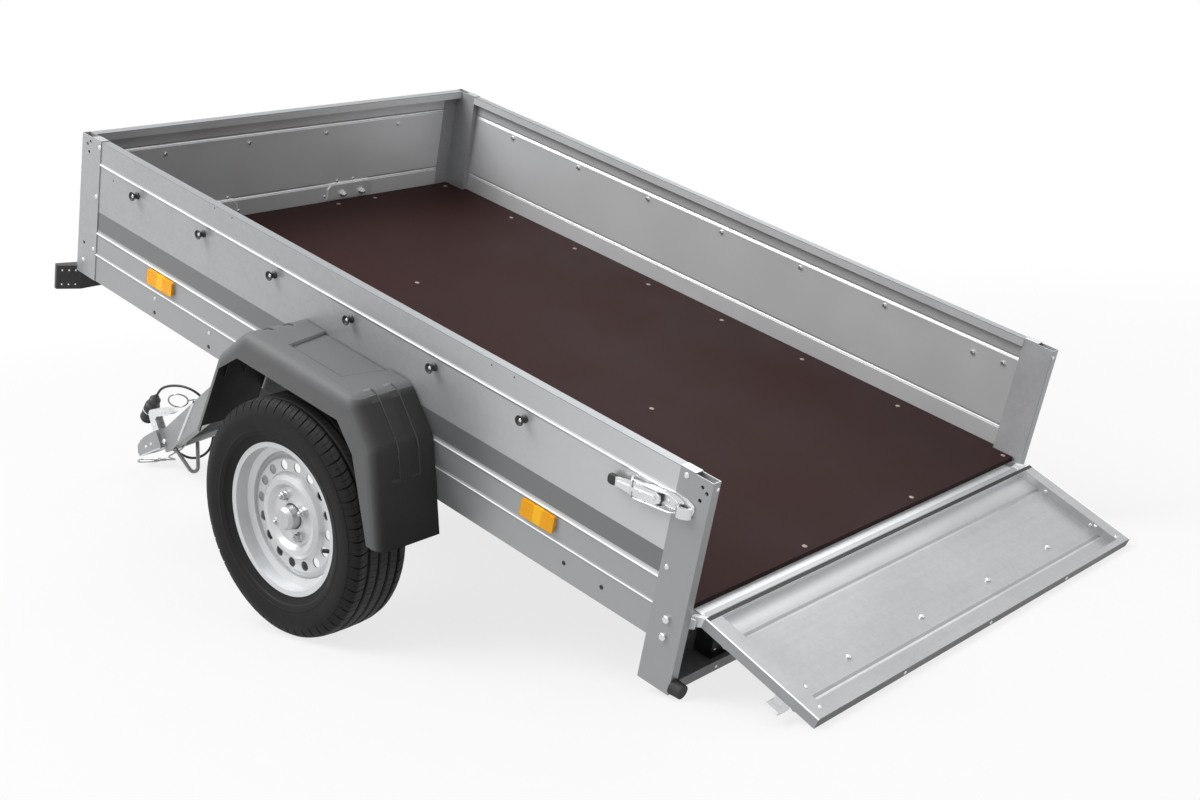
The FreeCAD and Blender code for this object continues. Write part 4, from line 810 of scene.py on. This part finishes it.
latch_metal, latch_grips = [], []
for side in (1, -1):
    give = on_latch(side)
    latch_metal += [give(slab(PLATE, -0.4, 2.4)), give(slab(LEVER, 8, 14.5, 2.0)),
                    give(slab(LEVER_RIB, 13, 17.5, 1.5)), give(claw_grid())]
    for up in (-14.5, 14.5):
        turned_up = slab(CHEEK, up - 1.2, up + 1.2)[..., [0, 2, 1]]
        latch_metal.append(give(turned_up))
    for up in (17.5, -17.5):
        bail = rounded_path([(58, up, 6), (64, up, 15), (150, up, 11), (172, up * 0.55, 12),
                             (176, 0, 13)], 7)
        latch_metal.append(give(bar_grid(bail, BAIL_RADIUS)))
    cross = rounded_path([(56, -20, 8), (60, -14, 16.5), (60, 14, 16.5), (56, 20, 8)], 6)
    latch_metal.append(give(bar_grid(cross, BAIL_RADIUS, up=(1, 0, 0))))
    latch_metal += turned_grids(dome(4, 2.5), LATCH_RIVETS, (0, 0, 1), give)
    latch_grips.append(give(slab(GRIP, 5, 16, 3.5)))
side_latches = add_piece("side_latches", latch_metal, "bed", zinc)
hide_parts("latches")
add_piece("latch_grips", latch_grips, "bed", rubber)


# Tyres of the 155/70 R13 size: black rubber, moulded with four grooves round the tread,
# cross cuts over both shoulders, fine cuts in the ribs and ring lines on the sidewalls.
TYRE_MIDDLE = 0.749
SIDEWALL = np.array([(-52, 169), (-61, 176), (-63.5, 184), (-68, 192), (-70.5, 193.5), (-72, 195.5),
                     (-73.9, 203.6), (-74.7, 204.4), (-74.9, 206.4), (-74.6, 207.4), (-75.5, 212),
                     (-77.2, 228), (-77.4, 236), (-76.4, 244), (-75.9, 245.6), (-75.3, 245.0),
                     (-73, 253), (-70, 260), (-66, 265.4), (-61, 268.8)])
CROWN = np.array([-55, -50, -46.5, -44.8, -37.8, -36.2, -30, -24, -18.6, -17.2, -10.6, -9.2, -4])
PITCHES = 56
PITCH_PARTS = np.array([0.0, 0.044, 0.058, 0.15, 0.24, 0.252, 0.27, 0.282, 0.4, 0.49, 0.502, 0.52,
                        0.532, 0.65, 0.74, 0.752, 0.77, 0.782, 0.88, 0.942, 0.956])
GROOVES = ((13.9, 3.6), (41.3, 3.7))
GROOVE_DEPTH = 6.0
TREAD_FOOT = 238


def tread_depth(s, phase):
    """Depth of the tread at a distance s across the tyre and a phase within one pitch: the
    greatest of the round grooves, the shoulder cuts, the fine cuts between them and those in
    the ribs."""
    off = np.abs(s)
    in_groove = np.maximum.reduce([np.abs(off - middle) < half for middle, half in GROOVES])
    shoulder = ((np.abs((phase + 0.5) % 1 - 0.5) < 0.051)
                * np.interp(off, [45, 47, 66, 74, 76.3], [0, 6.0, 5.2, 2.0, 0]))
    fine = ((np.abs(phase - 0.511) < 0.012)
            * np.interp(off, [46, 49, 64, 68, 69], [0, 1.8, 1.8, 1.0, 0]))
    rib = ((np.abs(np.abs(phase - 0.511) - 0.25) < 0.012)
           * np.interp(off, [0, 8, 10, 18, 20, 34, 36], [1.6, 1.6, 0, 0, 1.6, 1.6, 0]))
    return np.maximum.reduce([in_groove * GROOVE_DEPTH * np.ones_like(phase), shoulder, fine, rib])


def tyre_grid(side):
    """Surface of a tyre: for each place s across it and angle t round it, the point lies at
    radius r(s) - d(s, t) from the axis, where r is the moulded section and d the depth of the
    tread's grooves and cuts. The cuts lean, as t is shifted by an amount that grows with s."""
    crown = np.concatenate([CROWN, [0], -CROWN[::-1]])
    lift = np.interp(np.abs(crown), [0, 30, 50, 61], [273.3, 272.9, 271.4, 268.8])
    across = np.concatenate([SIDEWALL[:, 0], crown, -SIDEWALL[::-1, 0]])
    radius = np.concatenate([SIDEWALL[:, 1], lift, SIDEWALL[::-1, 1]])[:, None]
    turns = (np.arange(PITCHES)[:, None] + PITCH_PARTS).ravel()
    turns = np.append(turns, PITCHES) * (2 * np.pi / PITCHES)
    phase = np.append(np.tile(PITCH_PARTS, PITCHES), 0.0)[None]
    s = across[:, None]
    lean = 0.030 * np.clip(np.abs(s) - 8, 0, 60) / 45 * np.sign(s) + 0.012 * np.sin(s / 8)
    angle = turns[None] + lean
    reach = (radius - tread_depth(s, phase) * (radius > TREAD_FOOT)) / 1000
    y = side * (TYRE_MIDDLE + s / 1000) + 0 * angle
    grid = np.stack([axle_x + reach * np.cos(angle), y, axle_z + reach * np.sin(angle)], axis=-1)
    lining = 0.172
    middle = np.full_like(angle[:1], side * TYRE_MIDDLE)
    inner = np.stack([axle_x + lining * np.cos(angle[:1]), middle,
                      axle_z + lining * np.sin(angle[:1])], axis=-1)
    return np.concatenate([inner, grid, inner])


tread_marks = new_marks("rubber_marks")
rubber_dust = noise(own_place(tread_marks), 22, 5.0)
rubber_grain = noise(own_place(tread_marks), 420, 3.0)
put_out(tread_marks, Tone=rubber_dust, Wear=rubber_dust, Height=rubber_grain)
tyre_rubber = marked_finish("tyre_rubber", tread_marks,
                            ((0.0060, 0.0060, 0.0064), (0.0135, 0.0135, 0.0142)), (0.55, 0.7),
                            depth=0.0003, specular=0.18)
from_axle = vector_calc("MULTIPLY", along_body(tyre_rubber.node_tree, *BED), (1, 0, 1))
# Painted light and wear: the tread's tops are lighter than its grooves.
worn_and_lit_top = fade(vector_calc("LENGTH", from_axle), 0.2672, 0.2700)
mask_colour(tyre_rubber, worn_and_lit_top, (0.042, 0.042, 0.043))
for label, side in (("left", 1), ("right", -1)):
    tyre = add_piece("tread_" + label, [tyre_grid(side)], "wheel_" + label, tyre_rubber,
                     sharp=28)
    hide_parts("tyre_" + label)


# Wheels are pressed steel in silver paint, each held to a dark coated hub by four zinc-plated
# bolts with conical seats. A zinc-plated grease cap closes the hub, and a black rubber valve
# stem comes through the rim behind the lip.
silver = fine_finish("silver_paint", (0.56, 0.57, 0.58), (0.64, 0.65, 0.66), (0.3, 0.4), metallic=0.5)
repaint(silver, "rim_left", "rim_right")
satin_zinc = fine_finish("satin_zinc", (0.44, 0.445, 0.45), (0.56, 0.565, 0.57), (0.36, 0.5),
                         metallic=0.7)
repaint(satin_zinc, "hub_cap_left", "hub_cap_right")
dark_coat = fine_finish("dark_coated_sheet", (0.016, 0.016, 0.017), (0.032, 0.032, 0.033),
                        (0.42, 0.6))
repaint(dark_coat, "hub_left", "hub_right")
BOLT_CIRCLE, BOLT_SEAT = 49, 778
BOLT_ANGLES = np.radians(52.5 + 90 * np.arange(4))
BOLT = [(-1, 0), (-1, 13), (1.5, 12.5), (4, 10), (4, 9.6), (12, 9.6), (13, 8.6), (13, 5.5),
        (18, 5.2), (19.5, 4), (19.5, 0)]
STEM_ANGLE = math.radians(185)
STEM = [(-4, 0), (-4, 7.5), (2, 7.5), (5, 5.6), (24, 4.2), (25, 4.8), (36, 4.6), (37.5, 3.5),
        (37.5, 0)]


def round_axle(radius, angle, out):
    """Point at a radius from the wheel axis, turned by an angle, at a distance out."""
    return np.array([radius * math.cos(angle), out, radius * math.sin(angle)])


for label, side in (("left", 1), ("right", -1)):
    seats = [round_axle(BOLT_CIRCLE, angle, side * BOLT_SEAT) for angle in BOLT_ANGLES]
    add_piece("wheel_bolts_" + label, hexagons(BOLT, seats, (0, side, 0)),
              "wheel_" + label, satin_zinc)
    foot, tip = round_axle(158, STEM_ANGLE, side * 773), round_axle(134, STEM_ANGLE, side * 802)
    add_piece("valve_stem_" + label, turned_grids(STEM, foot, tip - foot),
              "wheel_" + label, rubber)


# The tailgate is a shallow pan of the same sheet. Screws hold its stiles, rivets its outer
# edge, and it carries four cord buttons and the catches for the latches.
GATE = (120.748, joint_places["tailgate_hinge"])
GATE_SHEET, GATE_FACE = 5, 25
STILE_WALL = 580
GATE_KNOB_HEIGHT = 223
gate_knob_y = 263 * (np.arange(4) - 1.5)


def on_gate(points):
    return placed(points, *GATE)


EDGE_HEAD, SCREW_END = dome(4.5, 2), hex_head(5.5, 4.5)
stile_screws = both_sides([(GATE_FACE, 572, 243), (GATE_FACE, 589, 292)])
gate_screws = [(GATE_SHEET, y, GATE_KNOB_HEIGHT) for y in gate_knob_y]
gate_rivets = turned_grids(EDGE_HEAD, stile_screws, (1, 0, 0), on_gate)
gate_rivets += turned_grids(EDGE_HEAD, [(14, y, 313) for y in (325, 0, -325)], (0, 0, 1), on_gate)
for side in (1, -1):
    stile_rivets = [(14, side * STILE_WALL, up) for up in (99, 230)]
    gate_rivets += turned_grids(EDGE_HEAD, stile_rivets, (0, -side, 0), on_gate)
gate_rivets += hexagons(SCREW_END, gate_screws, (1, 0, 0), on_gate)
add_piece("gate_rivets", gate_rivets, "tailgate", zinc)
gate_knobs = [(3, y, GATE_KNOB_HEIGHT) for y in gate_knob_y]
gate_cups = add_piece("gate_cups", turned_grids(KNOB, gate_knobs, (-1, 0, 0), on_gate, sides=28),
                      "tailgate", black_plastic)
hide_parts("tailgate_knobs")
add_piece("gate_cup_rivets", turned_grids(KNOB_RIVET, gate_knobs, (-1, 0, 0), on_gate), "tailgate",
          zinc)
strip_zinc = marked_finish("zinc_strip", zinc_marks, ((0.66, 0.67, 0.68), (0.76, 0.77, 0.78)),
                           (0.26, 0.36), metallic=0.5, depth=0.00002)
repaint(strip_zinc, "tailgate_catches", "tail_pins")


def pan_sheet():
    """Tailgate's sheet: painted light near the hinge, painted shade in the gap under its lip and on
    its top edge, darker outer sides, and a painted highlight along each stile."""
    sheet = zinc_sheet("galvanised_pan", (0.355, 0.363, 0.37), (0.405, 0.413, 0.42))
    depth, out, up = body_axes(sheet.node_tree, *GATE)
    # Painted light near the hinge.
    near_hinge = both(fade(up, 0.075, 0.028), below(depth, 0.0235))
    mask_colour(sheet, near_hinge, (0.78, 0.79, 0.80))
    # Painted shade in the gap under the lip.
    mask_colour(sheet, both(below(up, 0.0298), above(depth, 0.0245)), (0.02, 0.02, 0.02))
    # Painted shade on the top edge.
    mask_colour(sheet, above(up, 0.3125), (0.05, 0.05, 0.052))
    mask_colour(sheet, above(out, 0.6205), (0.30, 0.31, 0.32))
    # Painted highlight along each stile.
    mask_colour(sheet, both(band(out, 0.6185, 0.0019), above(depth, 0.024)), (0.95, 0.95, 0.95))
    return sheet


repaint(pan_sheet(), "tailgate_panel")


# The drawbar's two channels meet behind the coupling. Each web has a pressed bead that runs
# slantwise down to the nose, and bolts go through both webs and the coupling's shank.
DRAWBAR = (-18.771, joint_places["drawbar_hinge"])


def on_drawbar(points):
    return placed(points, *DRAWBAR)


# The bars take a darker copy of the zinc sheet, as painted shade.
bar_sheet = zinc_sheet("galvanised_bars", (0.22, 0.225, 0.23), (0.29, 0.295, 0.30), (0.35, 0.45))
repaint(bar_sheet, "drawbar_bar_left", "drawbar_bar_right", "drawbar_tie", "prop_stand")
BAR_SLOPE, BARS_MEET = 0.42447, 1383
BEAD_ENDS = ((1095, -25), (690, 33))
BEAD_RADIUS = 4.2
beads, bar_bolts = [], []
for side in (1, -1):
    x, z = (np.linspace(first, last, 24) for first, last in zip(*BEAD_ENDS))
    bead_line = np.stack([x, side * (BARS_MEET - x) * BAR_SLOPE, z], axis=1)
    beads.append(on_drawbar(bar_grid(bead_line, BEAD_RADIUS, sides=16)))
    bolt_places = [(x, side * 22, 0) for x in (1304, 1332)]
    bar_bolts += hexagons(hex_head(8.5, 6), bolt_places, (0, side, 0), on_drawbar)
# The beads take the bright zinc, as a painted highlight on the bars' sheet.
add_piece("bar_beads", beads, "drawbar", zinc)
add_piece("bar_bolts", bar_bolts, "drawbar", zinc)


# The coupling and its handle are pressed and zinc plated. The hood's lower edges turn out as
# narrow flanges, and rivets hold the ball's jaw inside it.
# The coupling's darker zinc is painted shade.
repaint(dull_zinc_and_painted_shade, "coupling", "wire_hook", "wire_ring")
repaint(strip_zinc, "coupling_handle")
coupling_trim = []
for side in (1, -1):
    hood_rivets = [(1400, side * 33, 8), (1432, side * 33, 6)]
    shank_rivets = [(1376, side * 15, 62), (1290, side * 15, 86), (1318, side * 15, 90)]
    coupling_trim += turned_grids(dome(5, 3), hood_rivets, (0, side, 0), on_drawbar)
    coupling_trim += turned_grids(dome(3.4, 2), shank_rivets, (0, side, 0), on_drawbar)
    flange = rounded_path([(1352, side * 34.5, -15), (1420, side * 34.5, -14.5),
                           (1478, side * 34, -13.5), (1494, side * 22, -12)], 12)
    coupling_trim.append(on_drawbar(bar_grid(flange, 2.6)))
add_piece("coupling_trim", coupling_trim, "drawbar", zinc)


# The lighting cable is a black jacketed lead, 8 mm thick. It comes out of the right bar's
# underside, rises outside the bar in a loop and bends over to the plug, whose neck is tied to
# the coupling's handle by a plastic tie.
repaint(black_plastic, "plug")
cable_route = [(1332, -10, -42.5), (1319.8, -17, -61.5), (1298.7, -35, -79.5), (1271.2, -55, -81.5),
               (1245.6, -72, -67.3), (1232.3, -84, -40.2), (1216.7, -90, -8.2), (1206.9, -92, 26.1),
               (1200.7, -85, 63.1), (1197.6, -68, 97.4), (1200.9, -48, 122.8), (1221, -33, 143),
               (1256, -24, 157), (1299, -20, 165), (1339.66, -20, 163.36), (1366, -20, 149)]


def add_cord(name, route, radius, node, finish):
    """Round cord along a smooth curve that starts and ends at the route's ends and is drawn
    towards its other points."""
    line = bpy.data.curves.new(name, "CURVE")
    line.dimensions = "3D"
    line.bevel_depth = radius
    line.bevel_resolution = 4
    line.resolution_u = 8
    line.use_fill_caps = True
    spline = line.splines.new("NURBS")
    spline.points.add(len(route) - 1)
    for point, place in zip(spline.points, on_drawbar(route)):
        point.co = (*place, 1)
    spline.order_u = 3
    spline.use_endpoint_u = True
    line.materials.append(finish)
    made = add_object(name, line)
    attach(made, "drawbar")
    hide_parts(node)
    return made


jacket = fine_finish("cable_jacket", (0.012, 0.012, 0.012), (0.026, 0.026, 0.027), (0.4, 0.55))
cable_line = add_cord("cable_lead", cable_route, 0.004, "cable", jacket)
on_drawbar(cable_route)[0]
PLUG_NECK = np.array([1366, -20, 149])
PLUG_DIP = math.radians(28.6)
plug_way = np.array([math.cos(PLUG_DIP), 0, -math.sin(PLUG_DIP)])
plug_down = np.array([plug_way[2], 0, -plug_way[0]])


def round_plug(reach, radius, thick, sides):
    """Round bar bent to a ring about the plug: middle + radius * (cos t * Y + sin t * down)."""
    sweep = np.linspace(0, 2 * np.pi, 49)[:, None]
    middle = PLUG_NECK + reach * plug_way
    ring = middle + radius * (np.cos(sweep) * (0, 1, 0) + np.sin(sweep) * plug_down)
    return on_drawbar(bar_grid(ring, thick, up=plug_way, sides=sides))


pale_tie = fine_finish("pale_tie", (0.50, 0.50, 0.48), (0.62, 0.62, 0.60), (0.4, 0.55),
                       depth=0.00005)
add_piece("plug_tie", [round_plug(66, 24.2, 1.5, 12)], "drawbar", pale_tie)
RIB_PLACES = (44, 51, 58, 74, 81, 97, 103)
plug_ribs = [round_plug(reach, 22.7, 1.2, 8) for reach in RIB_PLACES]
add_piece("plug_ribs", plug_ribs, "drawbar", black_plastic)


# The safety wire is bare steel strand, 5 mm thick: from its eye it drops between the bars,
# comes forward under the nose and ends in a spring hook that lies on the ground.
wire_route = [(1188.4, -34.1, 92.3), (1173.2, -49.1, 87.1), (1158, -45, 70), (1165, -28, 50),
              (1188, -13, 35), (1212, -5, 18), (1234, -4, -4), (1254, -2, -26), (1279, 1, -40),
              (1308, 5, -44), (1338, 7, -45), (1368, 3, -47), (1397.7, -12, -47.8),
              (1415.4, -38, -53.4), (1437.3, -60, -58.6), (1464.5, -69.4, -53.6),
              (1486.2, -55.1, -46.2)]
wire_line = add_cord("safety_line", wire_route, 0.0025, "safety_wire", dull_zinc_and_painted_shade)
on_drawbar(wire_route)[0]
